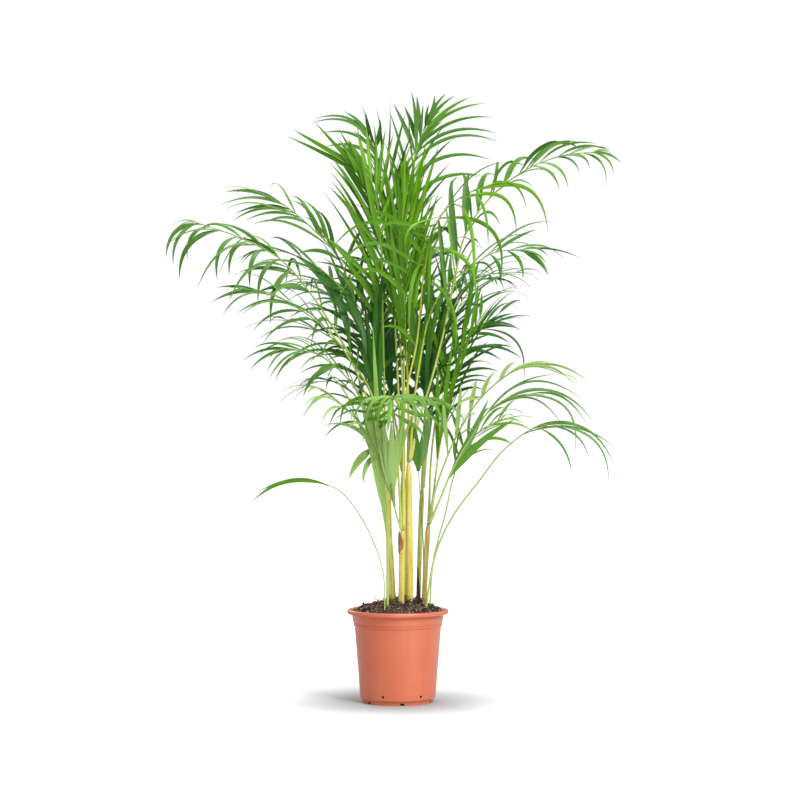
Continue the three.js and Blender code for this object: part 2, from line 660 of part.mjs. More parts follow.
const inPlace = [...woody, ...Object.values(stalks)];
for (const [name, spec] of Object.entries(FRONDS)) {
  const others = inPlace.filter((piece) => piece !== stalks[name]);
  const blades = leaflets(frondCurve(spec), spec, others);
  const whole = blades.reduce((all, one) => all.add(one), stalks[name]);
  addPiece(`frond_${name}`, largestBody(whole.asOriginal().simplify(MERGE_WITHIN)), spec.tone);
  inPlace.push(...blades);
}

export default palm;
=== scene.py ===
"""A young areca palm in a thin-walled nursery pot, dressed for rendering.

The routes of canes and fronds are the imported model's own, in millimetres, +Z up, the
front towards -Y. Meshes are built in millimetres and written in metres.
"""

import math

import bpy
import numpy as np
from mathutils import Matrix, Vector, noise


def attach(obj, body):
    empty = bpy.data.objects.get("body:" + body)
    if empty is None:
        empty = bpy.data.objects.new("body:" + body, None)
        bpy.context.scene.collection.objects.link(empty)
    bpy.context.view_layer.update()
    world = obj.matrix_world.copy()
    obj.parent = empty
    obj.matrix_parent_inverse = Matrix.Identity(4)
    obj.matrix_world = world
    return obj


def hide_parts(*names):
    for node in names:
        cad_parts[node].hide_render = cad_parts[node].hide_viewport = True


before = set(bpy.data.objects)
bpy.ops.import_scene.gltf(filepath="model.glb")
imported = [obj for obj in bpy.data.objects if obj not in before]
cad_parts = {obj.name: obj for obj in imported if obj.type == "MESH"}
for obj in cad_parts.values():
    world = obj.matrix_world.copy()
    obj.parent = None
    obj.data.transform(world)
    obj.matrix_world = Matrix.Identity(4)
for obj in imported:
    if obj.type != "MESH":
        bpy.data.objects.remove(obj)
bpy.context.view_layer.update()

MM = 0.001
SEED = 8259

# ---- the object's dimensions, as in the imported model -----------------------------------

POT_HEIGHT = 173.0
RIM_RADIUS = 95.0
BAND_TOP_RADIUS = 86.0
BAND_BOTTOM_RADIUS = 83.0
BAND_BOTTOM = 143.0
WALL_TOP_RADIUS = 81.2
WALL_BOTTOM_RADIUS = 70.8
WALL_BOTTOM = 12.0
WALL = 1.8
FOOT_RADIUS = 66.0
FOOT_WIDTH = 4.0
FLOOR_UNDERSIDE = 3.5
NOTCHES = 6
NOTCH_ANGLE = -83.0
NOTCH_WIDTH = 10.0
NOTCH_HEIGHT = 4.5
SIDE_HOLE_RADIUS = 2.5
SIDE_HOLE_Z = 16.0
FLOOR_HOLE_RADIUS = 5.0
FLOOR_HOLE_RING = 42.0
SOIL_EDGE = 168.0
SOIL_CROWN = 186.0
ROOT_DEPTH = 34.0
STALK_TIP_RADIUS = 0.7

CANES = {
    "cane_front": dict(base=(6, -40), top=(9, -38, 325), radius=(5.8, 5.6), green=0.15),
    "cane_thick": dict(base=(23, -12), top=(20, -8, 450), radius=(6.8, 5.6), green=0.1),
    "cane_left": dict(base=(-6, -22), top=(-25, -14, 407), radius=(4.2, 5), green=0.35),
    "cane_back_left": dict(base=(-14, 16), top=(-18, 30, 400), radius=(5, 5), green=0.5),
    "cane_back": dict(base=(12, 30), top=(10, 46, 430), radius=(5.4, 5.2), green=0.4),
    "cane_right": dict(base=(48, -14), top=(57, -20, 335), radius=(4.8, 5), green=0.8),
    "cane_back_right": dict(base=(38, 14), top=(46, 26, 400), radius=(4.4, 4.6), green=0.9),
}

# What most fronds have; each one below gives only what differs.
# tone: its slot and colours;  look: its colours where they aren't its slot's
# bright: how much paler than its kind;  on: its cane, or None where it grows from the soil
# stalk: radius at its foot;  bare: share of the route without leaflets
# pairs: of leaflets;  blade: length and width of the longest
# angle: degrees from the midrib, first and last leaflet;  lift, face: degrees
# droop: how far leaflets bend down;  late: how late they bend
# facing: how far leaflets placed one by one turn their flat side to the front
# hue: the stalk's colour, from 0 green to 1 yellow
USUAL_FROND = dict(
    on=None, stalk=2.2, pairs=0, angle=(50, 20), lift=14, late=1.7, face=0, hue=0.4,
    bright=0, facing=0.7, look=None)

FRONDS = {
    "left_long": dict(
        tone="mid", bright=0.1, on="cane_left", stalk=2.6, bare=0.47, pairs=6, blade=(185, 11),
        angle=(54, 18), lift=10, droop=1.7, late=1.6, face=-32, hue=0.2,
        route=[(-44, -24, 560), (-80, -36, 632), (-124, -46, 706), (-163, -52, 764),
               (-217, -60, 825), (-295, -66, 866), (-373, -70, 893)]),
    "left_upper": dict(
        tone="mid", on="cane_back_left", stalk=2.6, bare=0.48, pairs=6, blade=(180, 11),
        angle=(46, 18), droop=1.0, late=1.8, face=-30, hue=0.2,
        route=[(-32, 38, 520), (-64, 52, 690), (-115, 64, 838), (-161, 72, 890),
               (-218, 80, 938), (-262, 84, 962)]),
    "left_middle": dict(
        tone="dark", on="cane_left", stalk=2.3, bare=0.34, pairs=8, blade=(175, 12), angle=(46, 18),
        lift=12, droop=1.0, late=1.8, face=-28, hue=0.25,
        route=[(-38, -4, 520), (-62, 4, 680), (-92, 8, 756), (-150, 12, 814),
               (-208, 14, 842), (-248, 14, 848)]),
    "left_front": dict(
        tone="mid", bright=0.2, on="cane_left", stalk=2.3, bare=0.45, pairs=7, blade=(165, 10),
        angle=(50, 18), lift=12, droop=1.2, face=-30, hue=0.3,
        route=[(-46, -48, 530), (-82, -76, 628), (-124, -98, 688), (-160, -112, 718),
               (-204, -124, 746), (-270, -136, 766)]),
    "left_drop": dict(
        tone="dark", on="cane_back_left", bare=0.34, pairs=7, blade=(155, 10), lift=8, droop=1.2,
        face=-25, hue=0.2,
        route=[(-40, 56, 550), (-80, 74, 640), (-116, 84, 676), (-161, 94, 702),
               (-222, 104, 722)]),
    "left_low": dict(
        tone="mid", bright=0.2, on="cane_left", bare=0.42, pairs=9, blade=(155, 10), angle=(52, 20),
        lift=10, droop=1.3, face=-28,
        route=[(-44, -44, 490), (-80, -72, 588), (-132, -98, 640), (-157, -110, 652),
               (-203, -126, 658)]),
    "left_lowest": dict(
        tone="dark", on="cane_back_left", stalk=2.0, bare=0.42, pairs=6, blade=(145, 10), lift=8,
        droop=1.2, face=-20,
        route=[(-36, 62, 480), (-84, 96, 576), (-122, 116, 600), (-162, 132, 600)]),
    "left_pale": dict(
        tone="pale", bright=0.6, facing=1.6, stalk=3.0, bare=0.6, pairs=7, blade=(155, 11),
        angle=(48, 20), lift=12, droop=1.3, late=1.6, face=-30, hue=0.1,
        route=[(-19, -48, 190), (-21, -52, 340), (-36, -58, 440), (-49, -66, 488),
               (-70, -78, 522), (-102, -94, 556), (-141, -112, 584)]),
    "left_lone": dict(
        tone="bright", stalk=1.4, bare=0.86, blade=(140, 9), angle=(10, 10), lift=0, droop=0.45,
        late=1.4, hue=0.1,
        route=[(-24, -60, 190), (-27, -62, 245), (-46, -66, 306), (-78, -72, 365),
               (-106, -78, 397), (-130, -82, 409), (-152, -84, 414)]),
    "left_small": dict(
        tone="mid", look="pale", facing=2.0, on="cane_left", stalk=1.6, bare=0.5, pairs=1,
        blade=(58, 14), angle=(50, 30), lift=0, droop=2.2, late=1.4,
        route=[(-34, -30, 440), (-42, -40, 466), (-52, -52, 484)]),
    "front_arch": dict(
        tone="bright", bright=1.1, facing=1.8, on="cane_front", stalk=2.3, bare=0.6, pairs=3,
        blade=(95, 12), angle=(72, 28), droop=1.8, late=1.4, hue=0.3,
        route=[(0, -46, 440), (-8, -60, 520), (-10, -88, 558), (-10, -128, 572),
               (-9, -176, 566)]),
    "front_tall": dict(
        tone="bright", bright=0.15, facing=1.6, on="cane_front", stalk=2.5, bare=0.46, pairs=3,
        blade=(150, 10), angle=(48, 20), lift=16, droop=1.1, late=1.8, face=20, hue=0.75,
        route=[(14, -48, 565), (35, -66, 672), (49, -94, 805), (65, -124, 874),
               (89, -154, 912), (134, -204, 938), (164, -246, 944)]),
    "right_middle": dict(
        tone="mid", on="cane_thick", stalk=2.3, bare=0.46, pairs=7, blade=(170, 10), angle=(48, 18),
        lift=16, droop=1.2, late=1.8, face=28, hue=0.7,
        route=[(31, -26, 568), (45, -38, 661), (57, -48, 715), (86, -58, 772),
               (127, -66, 804), (176, -74, 836), (233, -82, 842)]),
    "centre_spear": dict(
        tone="bright", on="cane_thick", stalk=2.6, bare=0.5, pairs=20, blade=(235, 12),
        angle=(24, 8), lift=6, droop=0.12, late=2.5, face=90,
        route=[(20, 2, 560), (14, 8, 700), (9, 10, 850), (8, 8, 925)]),
    "top_right": dict(
        tone="mid", on="cane_back", stalk=2.6, bare=0.56, pairs=10, blade=(150, 12), angle=(36, 16),
        lift=8, droop=0.5, late=2.0, face=80, hue=0.3,
        route=[(11, 52, 560), (14, 60, 760), (24, 70, 920), (32, 80, 1025), (41, 86, 1060),
               (53, 92, 1092)]),
    "left_bright": dict(
        tone="bright", on="cane_back_left", stalk=2.5, bare=0.5, pairs=20, blade=(200, 12),
        angle=(38, 12), lift=8, droop=0.3, late=2.2, face=90, hue=0.3,
        route=[(-24, 26, 520), (-28, 18, 700), (-32, 14, 860), (-44, 12, 960),
               (-66, 12, 1008)]),
    "top_left": dict(
        tone="mid", on="cane_back", stalk=2.5, bare=0.54, pairs=13, blade=(165, 12), angle=(38, 18),
        lift=8, droop=0.5, late=2.0, face=80, hue=0.2,
        route=[(0, 60, 600), (-12, 78, 820), (-28, 98, 1000), (-58, 114, 1074)]),
    "pale_broad": dict(
        tone="pale", bright=0.7, facing=2.5, on="cane_front", stalk=2.0, bare=0.55, blade=(130, 24),
        angle=(12, 8), lift=0, droop=0.3, late=2.0, face=90, hue=0.3,
        route=[(-2, -50, 350), (-9, -58, 385), (-13, -64, 410)]),
    "young_dark": dict(
        tone="dark", look="mid", bright=0.6, facing=2.5, stalk=1.6, bare=0.94, blade=(118, 20),
        angle=(16, 16), lift=0, droop=0.1, late=2.0, face=90, hue=0.0,
        route=[(47, 2, 190), (48, 4, 282), (44, 4, 350), (39, 2, 425), (38, 2, 436)]),
    "right_long": dict(
        tone="mid", on="cane_thick", stalk=2.6, bare=0.52, pairs=6, blade=(140, 11), angle=(52, 18),
        lift=22, droop=1.3, late=1.9, face=32,
        route=[(38, -2, 525), (56, 2, 580), (82, 4, 676), (106, 4, 790), (128, 2, 880),
               (172, -2, 943), (230, -8, 990), (304, -16, 1021), (370, -22, 1028)]),
    "right_thin": dict(
        tone="dark", on="cane_back_right", bare=0.36, pairs=8, blade=(155, 9), angle=(46, 18),
        lift=16, droop=0.9, face=24,
        route=[(56, 34, 580), (71, 40, 641), (90, 44, 701), (129, 50, 780), (166, 54, 802),
               (228, 60, 808)]),
    "right_dark": dict(
        tone="dark", on="cane_right", bare=0.4, pairs=6, blade=(150, 11), angle=(48, 20), lift=10,
        droop=1.0, face=24, hue=0.3,
        route=[(62, 6, 450), (70, 28, 520), (84, 48, 602), (121, 68, 670), (162, 80, 708),
               (196, 86, 732)]),
    "right_bright": dict(
        tone="bright", on="cane_right", bare=0.46, pairs=10, blade=(170, 13), angle=(34, 18),
        lift=18, droop=0.45, late=2.0, face=20, hue=0.2,
        route=[(74, -14, 450), (81, -10, 493), (97, -4, 547), (110, 2, 614), (126, 6, 664),
               (156, 10, 722)]),
    "right_light": dict(
        tone="pale", bright=0.7, on="cane_right", bare=0.38, pairs=2, blade=(110, 8),
        angle=(52, 22), lift=8, droop=0.9, face=30, hue=0.2,
        route=[(68, -26, 390), (93, -32, 463), (109, -36, 498), (133, -40, 540),
               (154, -44, 569), (187, -52, 600), (223, -60, 622), (260, -70, 626),
               (305, -80, 612)]),
    "right_broad": dict(
        tone="mid", bright=0.9, on="cane_right", bare=0.36, pairs=1, blade=(150, 12),
        angle=(44, 22), lift=20, droop=1.1, late=1.6, face=28, hue=0.1,
        route=[(72, -40, 366), (96, -56, 425), (111, -66, 457), (139, -80, 503),
               (164, -92, 541), (194, -104, 564), (230, -116, 575), (266, -128, 575)]),
    "right_lowest": dict(
        tone="mid", bright=0.8, bare=0.52, blade=(135, 9), angle=(50, 22), lift=18, droop=1.3,
        late=1.6, face=26, hue=0.05,
        route=[(49, -32, 190), (65, -44, 261), (80, -52, 308), (105, -62, 356),
               (152, -74, 419), (186, -84, 464), (222, -94, 497), (252, -102, 514),
               (299, -112, 518)]),
    "right_inner": dict(
        tone="bright", bright=0.6, stalk=1.8, bare=0.7, pairs=8, blade=(130, 10), angle=(44, 22),
        droop=0.9, late=1.6, face=20, hue=0.1,
        route=[(58, -18, 190), (66, -14, 262), (75, -10, 302), (90, -4, 356), (101, 2, 408),
               (120, 14, 462), (154, 30, 506), (198, 48, 530)]),
    "back": dict(
        tone="dark", on="cane_back", stalk=2.5, bare=0.34, pairs=15, blade=(185, 12), droop=1.0,
        route=[(10, 66, 560), (4, 98, 690), (0, 146, 800), (-4, 204, 862), (-8, 258, 878)]),
    "back_right": dict(
        tone="dark", on="cane_back_right", stalk=2.3, bare=0.34, pairs=14, blade=(175, 12),
        droop=1.1, face=10,
        route=[(62, 66, 520), (88, 118, 664), (122, 176, 752), (158, 226, 800),
               (192, 262, 806)]),
    "back_left": dict(
        tone="dark", on="cane_back_left", stalk=2.3, bare=0.34, pairs=14, blade=(175, 12),
        droop=1.1, face=-10,
        route=[(-26, 76, 520), (-56, 126, 660), (-92, 182, 744), (-132, 226, 790),
               (-168, 262, 798)]),
    "inner_left": dict(
        tone="dark", on="cane_back", bare=0.3, pairs=11, blade=(180, 14), angle=(40, 20), lift=12,
        droop=0.8, late=1.8, face=-20,
        route=[(-4, 70, 520), (-34, 100, 650), (-66, 124, 730), (-102, 145, 778)]),
    "inner_right": dict(
        tone="dark", on="cane_back_right", bare=0.3, pairs=11, blade=(180, 14), angle=(40, 20),
        lift=12, droop=0.8, late=1.8, face=20,
        route=[(50, 62, 520), (60, 88, 640), (78, 112, 730), (108, 134, 790)]),
}


# Single leaflets, by frond: foot and tip as (x, z) in the front view, how far the tip
# stands behind the foot, the width, how far the leaflet arches above the straight line
# as a share of its length, and how late it arches (even if not given). A foot can be a
# share of the frond's route, and a tip a list of points that the leaflet follows.
SINGLES = {
    "left_long": [
        ((-328, 868), (-400, 786), -30, 15, 0.22), ((-296, 871), (-330, 784), -40, 12, 0.24),
        ((-275, 855), (-308, 792), -45, 12, 0.25), ((-247, 834), (-270, 770), -45, 13, 0.25),
        ((-360, 890), (-425, 826), -25, 12, 0.25), ((-372, 893), (-411, 812), -30, 10, 0.2),
        ((-345, 886), (-385, 822), -35, 10, 0.25), ((-197, 805), (-232, 705), -55, 14, 0.2),
        ((-217, 825), (-255, 742), -50, 12, 0.22), ((-247, 850), (-330, 893), 20, 10, 0.1),
        ((-217, 825), (-300, 866), 25, 10, 0.1), ((-185, 795), (-290, 800), -35, 12, 0.1),
        ((-163, 764), (-262, 760), -40, 12, 0.12),
    ],
    "left_upper": [
        ((-225, 942), (-328, 962), -10, 11, 0.1), ((-215, 938), (-336, 936), -20, 10, 0.12),
        ((-205, 930), (-313, 922), 15, 9, 0.1), ((-195, 920), (-314, 905), -25, 9, 0.14),
        ((-185, 912), (-289, 905), -30, 9, 0.12), ((-170, 898), (-254, 900), -35, 9, 0.14),
        ((-140, 868), (-205, 948), 30, 11, 0.12, 1.8),
        ((-128, 855), (-184, 948), 30, 11, 0.12, 1.8),
        ((-118, 842), (-158, 930), 30, 11, 0.12, 1.8), ((-112, 830), (-190, 840), -40, 12, 0.14),
    ],
    "left_front": [
        ((-250, 760), (-328, 770), 10, 10, 0.08), ((-235, 757), (-337, 742), -15, 11, 0.12),
        ((-190, 738), (-290, 722), -25, 8, 0.14), ((-170, 726), (-262, 690), -30, 8, 0.16),
        ((-150, 708), (-245, 668), -30, 8, 0.16),
    ],
    "left_low": [
        ((-195, 658), (-281, 637), -10, 9, 0.12), ((-180, 656), (-268, 620), -20, 9, 0.14),
        ((-160, 652), (-222, 600), -25, 9, 0.16), ((-114, 630), (-172, 572), -30, 15, 0.16),
    ],
    "left_pale": [
        (0.55, (-46, 700), -20, 14, 0.02), (0.6, (-84, 600), -20, 16, 0.05),
        (0.5, (-57, 566), -14, 16, 0.03), (0.44, (-44, 560), -12, 14, 0.02),
        (0.66, (-132, 520), -30, 12, 0.2), (0.38, (-66, 548), -14, 16, 0.03),
        (0.32, (-40, 522), -12, 16, 0.02), (0.48, (-92, 556), -16, 14, 0.06),
    ],
    "left_lone": [
        ((-128, 408), (-268, 378), -8, 12, 0.16), ((-140, 412), (-262, 392), 14, 7, 0.12),
    ],
    "inner_left": [
        (0.36, (-22, 740), -20, 18, 0.03), (0.4, (-48, 770), 0, 18, 0.03),
        (0.45, (8, 790), -20, 18, 0.03), (0.5, (-82, 800), -20, 18, 0.04),
        (0.55, (-30, 850), 0, 18, 0.03),
    ],
    "inner_right": [
        (0.36, (70, 730), -20, 18, 0.03), (0.4, (30, 770), 0, 18, 0.03),
        (0.46, (96, 780), -20, 18, 0.03), (0.52, (60, 840), 0, 18, 0.03),
    ],
    "left_middle": [
        ((-150, 812), (-90, 655), -36, 24, 0.1), ((-110, 775), (-58, 640), -36, 24, 0.08),
        ((-190, 838), (-112, 716), -30, 20, 0.12), (0.26, (-64, 760), -16, 17, 0.03),
        (0.3, (-40, 790), -30, 17, 0.03), (0.34, (-96, 780), 10, 17, 0.04),
        (0.4, (-24, 820), -10, 17, 0.03), (0.22, (-30, 720), -24, 17, 0.03),
        (0.2, (-86, 700), -10, 16, 0.05),
    ],
    "right_thin": [
        (0.26, (60, 740), -10, 13, 0.03), (0.3, (96, 760), 10, 13, 0.03),
        (0.34, (124, 770), -16, 12, 0.04),
    ],
    "right_bright": [
        (0.34, (104, 690), -10, 12, 0.03), (0.4, (132, 718), 0, 12, 0.02),
        (0.28, (74, 640), -20, 12, 0.03),
    ],
    "left_small": [
        (0.86, (-90, 420), -20, 21, 0.1), (0.7, (-64, 410), -16, 14, 0.15),
    ],
    "front_arch": [
        (0.8, [(-40, 556), (-76, 560), (-110, 548), (-128, 514)], 6, 12),
        (0.84, [(-40, 566), (-74, 568), (-98, 552), (-106, 518)], 2, 12),
        (0.88, [(-34, 570), (-58, 566), (-74, 548), (-82, 518)], -6, 13),
        (0.92, [(-28, 572), (-46, 562), (-56, 540), (-58, 508)], -12, 13),
        (0.96, [(-20, 570), (-32, 556), (-36, 534), (-36, 506)], -18, 15),
        (0.99, [(-10, 564), (-14, 548), (-16, 530), (-18, 508)], -22, 14),
        (0.99, [(4, 564), (8, 548), (6, 526), (2, 504)], -24, 14),
        (0.96, [(16, 570), (28, 558), (32, 538), (30, 512)], -20, 14),
        (0.92, [(24, 572), (44, 562), (54, 538), (58, 506)], -12, 13),
        (0.88, [(30, 570), (58, 564), (76, 540), (82, 508)], -6, 12),
        (0.84, [(38, 566), (72, 566), (94, 548), (104, 516)], 0, 12),
        (0.8, [(40, 556), (78, 560), (108, 546), (126, 520)], 4, 11),
        (0.75, [(-50, 544), (-88, 546), (-116, 530)], 12, 10),
        (0.7, [(-36, 532), (-60, 528), (-74, 506)], 16, 11),
        (0.72, [(36, 538), (62, 534), (80, 510)], 16, 11),
        (0.65, [(-30, 518), (-44, 506), (-50, 486)], 20, 11),
        (0.66, [(24, 520), (40, 510), (50, 488)], 20, 11),
    ],
    "front_tall": [
        ((68, 885), (-18, 806), -34, 10, 0.5, 2.0), ((60, 862), (-58, 820), -46, 10, 0.54, 2.0),
        ((58, 850), (-127, 825), -50, 10, 0.27, 1.2), ((50, 808), (-112, 795), -46, 10, 0.3, 1.4),
        ((46, 775), (-112, 806), -50, 9, 0.18), ((43, 735), (-114, 736), -50, 11, 0.42, 1.5),
        ((66, 880), (37, 676), -34, 11, 0.13, 0.4), ((50, 815), (22, 670), -44, 10, 0.2, 0.5),
        ((62, 866), (55, 724), -40, 12, 0.1, 0.4), ((73, 890), (93, 700), -34, 13, 0.12, 0.4),
        ((86, 908), (112, 704), -30, 11, 0.14, 0.5), ((98, 918), (135, 760), -40, 10, 0.18, 0.5),
        ((80, 902), (20, 800), -60, 9, 0.34, 1.6), ((134, 938), (266, 862), -30, 11, 0.32, 1.2),
        ((110, 926), (214, 862), 20, 11, 0.36, 1.2), ((76, 894), (186, 778), 10, 11, 0.34),
        ((54, 845), (140, 740), 10, 11, 0.28), ((47, 790), (104, 650), -10, 11, 0.18, 0.8),
        ((150, 942), (226, 900), -40, 8, 0.3, 1.2), ((120, 930), (160, 836), -50, 8, 0.25, 0.6),
    ],
    "right_middle": [
        (0.3, (22, 790), -16, 13, 0.03), (0.36, (70, 800), 10, 13, 0.03),
        (0.24, (52, 720), -20, 13, 0.03), ((225, 841), (276, 794), -10, 15, 0.12),
        ((200, 840), (229, 786), -22, 10, 0.2), ((170, 834), (188, 778), -30, 10, 0.2),
        ((180, 836), (257, 881), 20, 9, 0.05), ((230, 842), (338, 826), 10, 5, 0.08),
        ((150, 820), (130, 700), -30, 14, 0.1), ((86, 772), (60, 640), -30, 14, 0.08),
    ],
    "top_right": [
        ((52, 1088), (93, 1154), 0, 11, 0.06), ((50, 1080), (110, 1150), 12, 11, 0.08),
        ((46, 1066), (139, 1144), -8, 11, 0.08), ((43, 1060), (168, 1135), 16, 10, 0.12),
        ((41, 1045), (181, 1104), -12, 10, 0.14), ((38, 1035), (190, 1076), 16, 10, 0.16),
        ((34, 1020), (190, 1057), -14, 10, 0.18), ((30, 990), (176, 1026), 20, 10, 0.16),
        ((26, 950), (160, 992), -10, 11, 0.14), ((46, 1066), (36, 1147), -8, 13, 0.03),
        ((41, 1050), (12, 1129), 10, 13, 0.03), ((36, 1035), (-9, 1131), -10, 13, 0.02),
        ((52, 1086), (70, 1148), -6, 15, -0.08),
    ],
    "top_left": [
        ((-54, 1068), (-104, 1121), 0, 11, 0.1), ((-48, 1058), (-161, 1107), 8, 9, 0.22),
        ((-42, 1040), (-166, 1096), -10, 9, 0.24), ((-38, 1025), (-150, 1078), 10, 9, 0.2),
        ((-34, 1010), (-140, 1050), -10, 11, 0.18), ((-44, 1048), (-34, 1103), -10, 14, -0.08),
    ],
    "left_bright": [
        ((-58, 992), (-197, 1073), -10, 14, 0.0), ((-52, 978), (-209, 1062), 10, 12, 0.02),
        ((-46, 965), (-156, 1086), -20, 12, 0.0), ((-42, 950), (-111, 1076), 14, 12, 0.0),
        ((-40, 930), (-92, 1056), -14, 13, 0.0), ((-36, 900), (-118, 1030), 10, 13, 0.02),
        ((-34, 880), (-128, 1010), -20, 13, 0.03), ((-32, 850), (-70, 1030), -20, 14, 0.0),
        ((-32, 830), (-120, 960), 20, 13, 0.04), ((-30, 790), (-96, 930), -20, 14, 0.03),
        ((-29, 750), (-84, 890), 10, 14, 0.03), ((-28, 710), (-70, 860), -20, 14, 0.03),
    ],
    "centre_spear": [
        ((14, 700), (-16, 900), -20, 15, 0.02), ((13, 730), (-40, 940), 16, 15, 0.02),
        ((12, 760), (0, 980), -24, 15, 0.02), ((11, 790), (-30, 1030), 10, 14, 0.02),
        ((14, 710), (56, 900), -10, 15, 0.02), ((12, 750), (66, 950), 14, 14, 0.02),
        ((11, 800), (40, 1010), -14, 14, 0.02), ((16, 650), (-20, 830), -24, 15, 0.02),
        ((17, 620), (40, 800), -24, 15, 0.02),
    ],
    "pale_broad": [
        (0.66, (-47, 548), -16, 20, 0.02), (0.72, (-27, 524), -22, 23, 0.02),
        (0.8, (-12, 528), -24, 20, 0.02), (0.94, (12, 548), -12, 17, 0.02),
        (0.6, (-62, 530), -10, 17, 0.04), (0.5, (-38, 500), -18, 19, 0.02),
        (0.7, (0, 520), -20, 16, 0.02), (0.86, (28, 540), -14, 14, 0.03),
    ],
    "young_dark": [
        (0.985, (24, 536), -16, 27, 0.02), (0.985, (66, 560), -16, 25, 0.02),
    ],
    "right_long": [
        ((112, 815), [(104, 890), (100, 950), (101, 974), (109, 985), (123, 979)], 30, 18),
        ((128, 880), [(127, 921), (127, 955), (130, 982), (137, 991), (150, 986)], 30, 18),
        ((150, 918), [(152, 940), (157, 972), (168, 991), (186, 990)], 30, 18),
        ((172, 943), [(177, 958), (185, 983), (199, 1005), (214, 1014), (238, 1008)], 30, 17),
        ((197, 965), [(205, 983), (216, 1005), (233, 1020), (258, 1020)], 28, 16),
        ((228, 988), [(250, 1021), (272, 1040), (295, 1050), (322, 1044)], 24, 14),
        ((240, 994), (340, 1050), 20, 10, 0.16, 1.2), ((265, 1008), (372, 1046), 15, 9, 0.14),
        ((300, 1020), (398, 1032), 10, 8, 0.14), ((254, 1000), (300, 955), -30, 9, 0.18),
        ((268, 1008), (316, 958), -34, 9, 0.2), ((293, 1018), (338, 986), -30, 8, 0.2),
        ((322, 1024), (356, 995), -30, 8, 0.2), ((345, 1027), (386, 962), -20, 8, 0.24),
        ((365, 1028), (418, 1006), 0, 7, 0.12), ((360, 1028), (402, 985), -10, 7, 0.2),
    ],
    "right_dark": [
        ((160, 708), (222, 731), 10, 10, 0.06), ((150, 700), (226, 702), -10, 10, 0.1),
        ((140, 690), (214, 672), -14, 10, 0.12), ((152, 702), (238, 600), -30, 6, 0.3),
        ((121, 670), (151, 780), 10, 12, 0.04), ((110, 655), (196, 640), -20, 11, 0.14),
    ],
    "right_light": [
        ((93, 463), (82, 582), -20, 11, 0.02), ((109, 498), (118, 592), -6, 12, 0.05, 1.6),
        ((133, 540), (147, 603), 0, 12, 0.07, 1.6), ((154, 569), (182, 618), 0, 12, 0.08, 1.6),
        ((187, 600), (218, 636), 0, 11, 0.1, 1.6), ((200, 607), (283, 636), 0, 7, 0.1),
        ((223, 620), (349, 600), -10, 7, 0.15), ((240, 624), (317, 600), -20, 7, 0.15),
        ((150, 566), (108, 548), -24, 9, 0.2),
    ],
    "right_broad": [
        (0.27, (167, 568), -20, 21, -0.02), (0.27, (217, 531), -26, 19, 0.06),
        ((162, 538), (336, 568), -10, 7, 0.26), ((164, 541), (303, 512), -24, 7, 0.3),
        ((176, 550), (347, 519), -16, 7, 0.28), ((170, 546), (290, 612), 20, 8, 0.12),
        ((194, 564), (357, 527), 10, 7, 0.22), ((215, 570), (320, 458), -20, 6, 0.34),
        ((240, 575), (330, 545), 0, 6, 0.15),
    ],
    "right_lowest": [
        ((229, 501), (405, 472), 0, 6, 0.16), ((245, 510), (396, 443), -14, 7, 0.25),
        ((290, 518), (383, 412), -20, 6, 0.24), ((256, 514), (316, 428), -24, 7, 0.16),
        ((270, 516), (352, 455), 14, 6, 0.2), ((240, 507), (330, 522), 14, 5, 0.1),
    ],
}


# ---- small vector helpers ----------------------------------------------------------------

def vec(*values):
    return np.array(values, float)


def unit(v):
    return v / np.linalg.norm(v)


def square_to(v, axis):
    """v made perpendicular to the unit vector axis, at unit length."""
    return unit(v - np.dot(v, axis) * axis)


def turned(v, axis, degrees):
    """v turned about the unit vector axis."""
    c, s = math.cos(math.radians(degrees)), math.sin(math.radians(degrees))
    return v * c + np.cross(axis, v) * s + axis * np.dot(axis, v) * (1 - c)


def smooth(x):
    x = np.clip(x, 0, 1)
    return x * x * (3 - 2 * x)


def mix(a, b, t):
    return a + (b - a) * t


# ---- meshes --------------------------------------------------------------------------------

class Shape:
    """Vertices, faces and one number per vertex and name, gathered from many parts."""

    def __init__(self, names):
        self.names = names
        self.points, self.faces, self.slots = [], [], []
        self.values = {name: [] for name in names}
        self.count = 0

    def add(self, points, faces, slot=0, **values):
        self.points.append(points)
        self.faces += [[i + self.count for i in face] for face in faces]
        self.slots += [slot] * len(faces)
        for name in self.names:
            value = np.broadcast_to(np.asarray(values.get(name, 0.0), float), len(points))
            self.values[name].append(value)
        self.count += len(points)

    def build(self, name, materials, creases=None):
        mesh = bpy.data.meshes.new(name)
        points = np.concatenate(self.points) * MM
        mesh.from_pydata(points, [], self.faces)
        for material in materials:
            mesh.materials.append(material)
        mesh.polygons.foreach_set("material_index", self.slots)
        mesh.polygons.foreach_set("use_smooth", [True] * len(self.faces))
        for key in self.names:
            attribute = mesh.attributes.new(key, "FLOAT", "POINT")
            attribute.data.foreach_set("value", np.concatenate(self.values[key]))
        if creases is not None:
            ends = np.zeros(len(mesh.edges) * 2, int)
            mesh.edges.foreach_get("vertices", ends)
            level = np.concatenate(self.values[creases]).round(3)
            first, second = level[ends[0::2]], level[ends[1::2]]
            sharp = (first == second) & np.isin(first, (-1.0, 0.0, 1.0))
            edge_mark = mesh.attributes.new("sharp_edge", "BOOLEAN", "EDGE")
            edge_mark.data.foreach_set("value", sharp)
        mesh.update()
        return linked(name, mesh)


def linked(name, data):
    """A new object in the scene, with its mesh, light or camera."""
    thing = bpy.data.objects.new(name, data)
    bpy.context.scene.collection.objects.link(thing)
    return thing


def mesh_object(name, points, faces):
    mesh = bpy.data.meshes.new(name)
    mesh.from_pydata(np.asarray(points) * MM, [], faces)
    mesh.update()
    return linked(name, mesh)


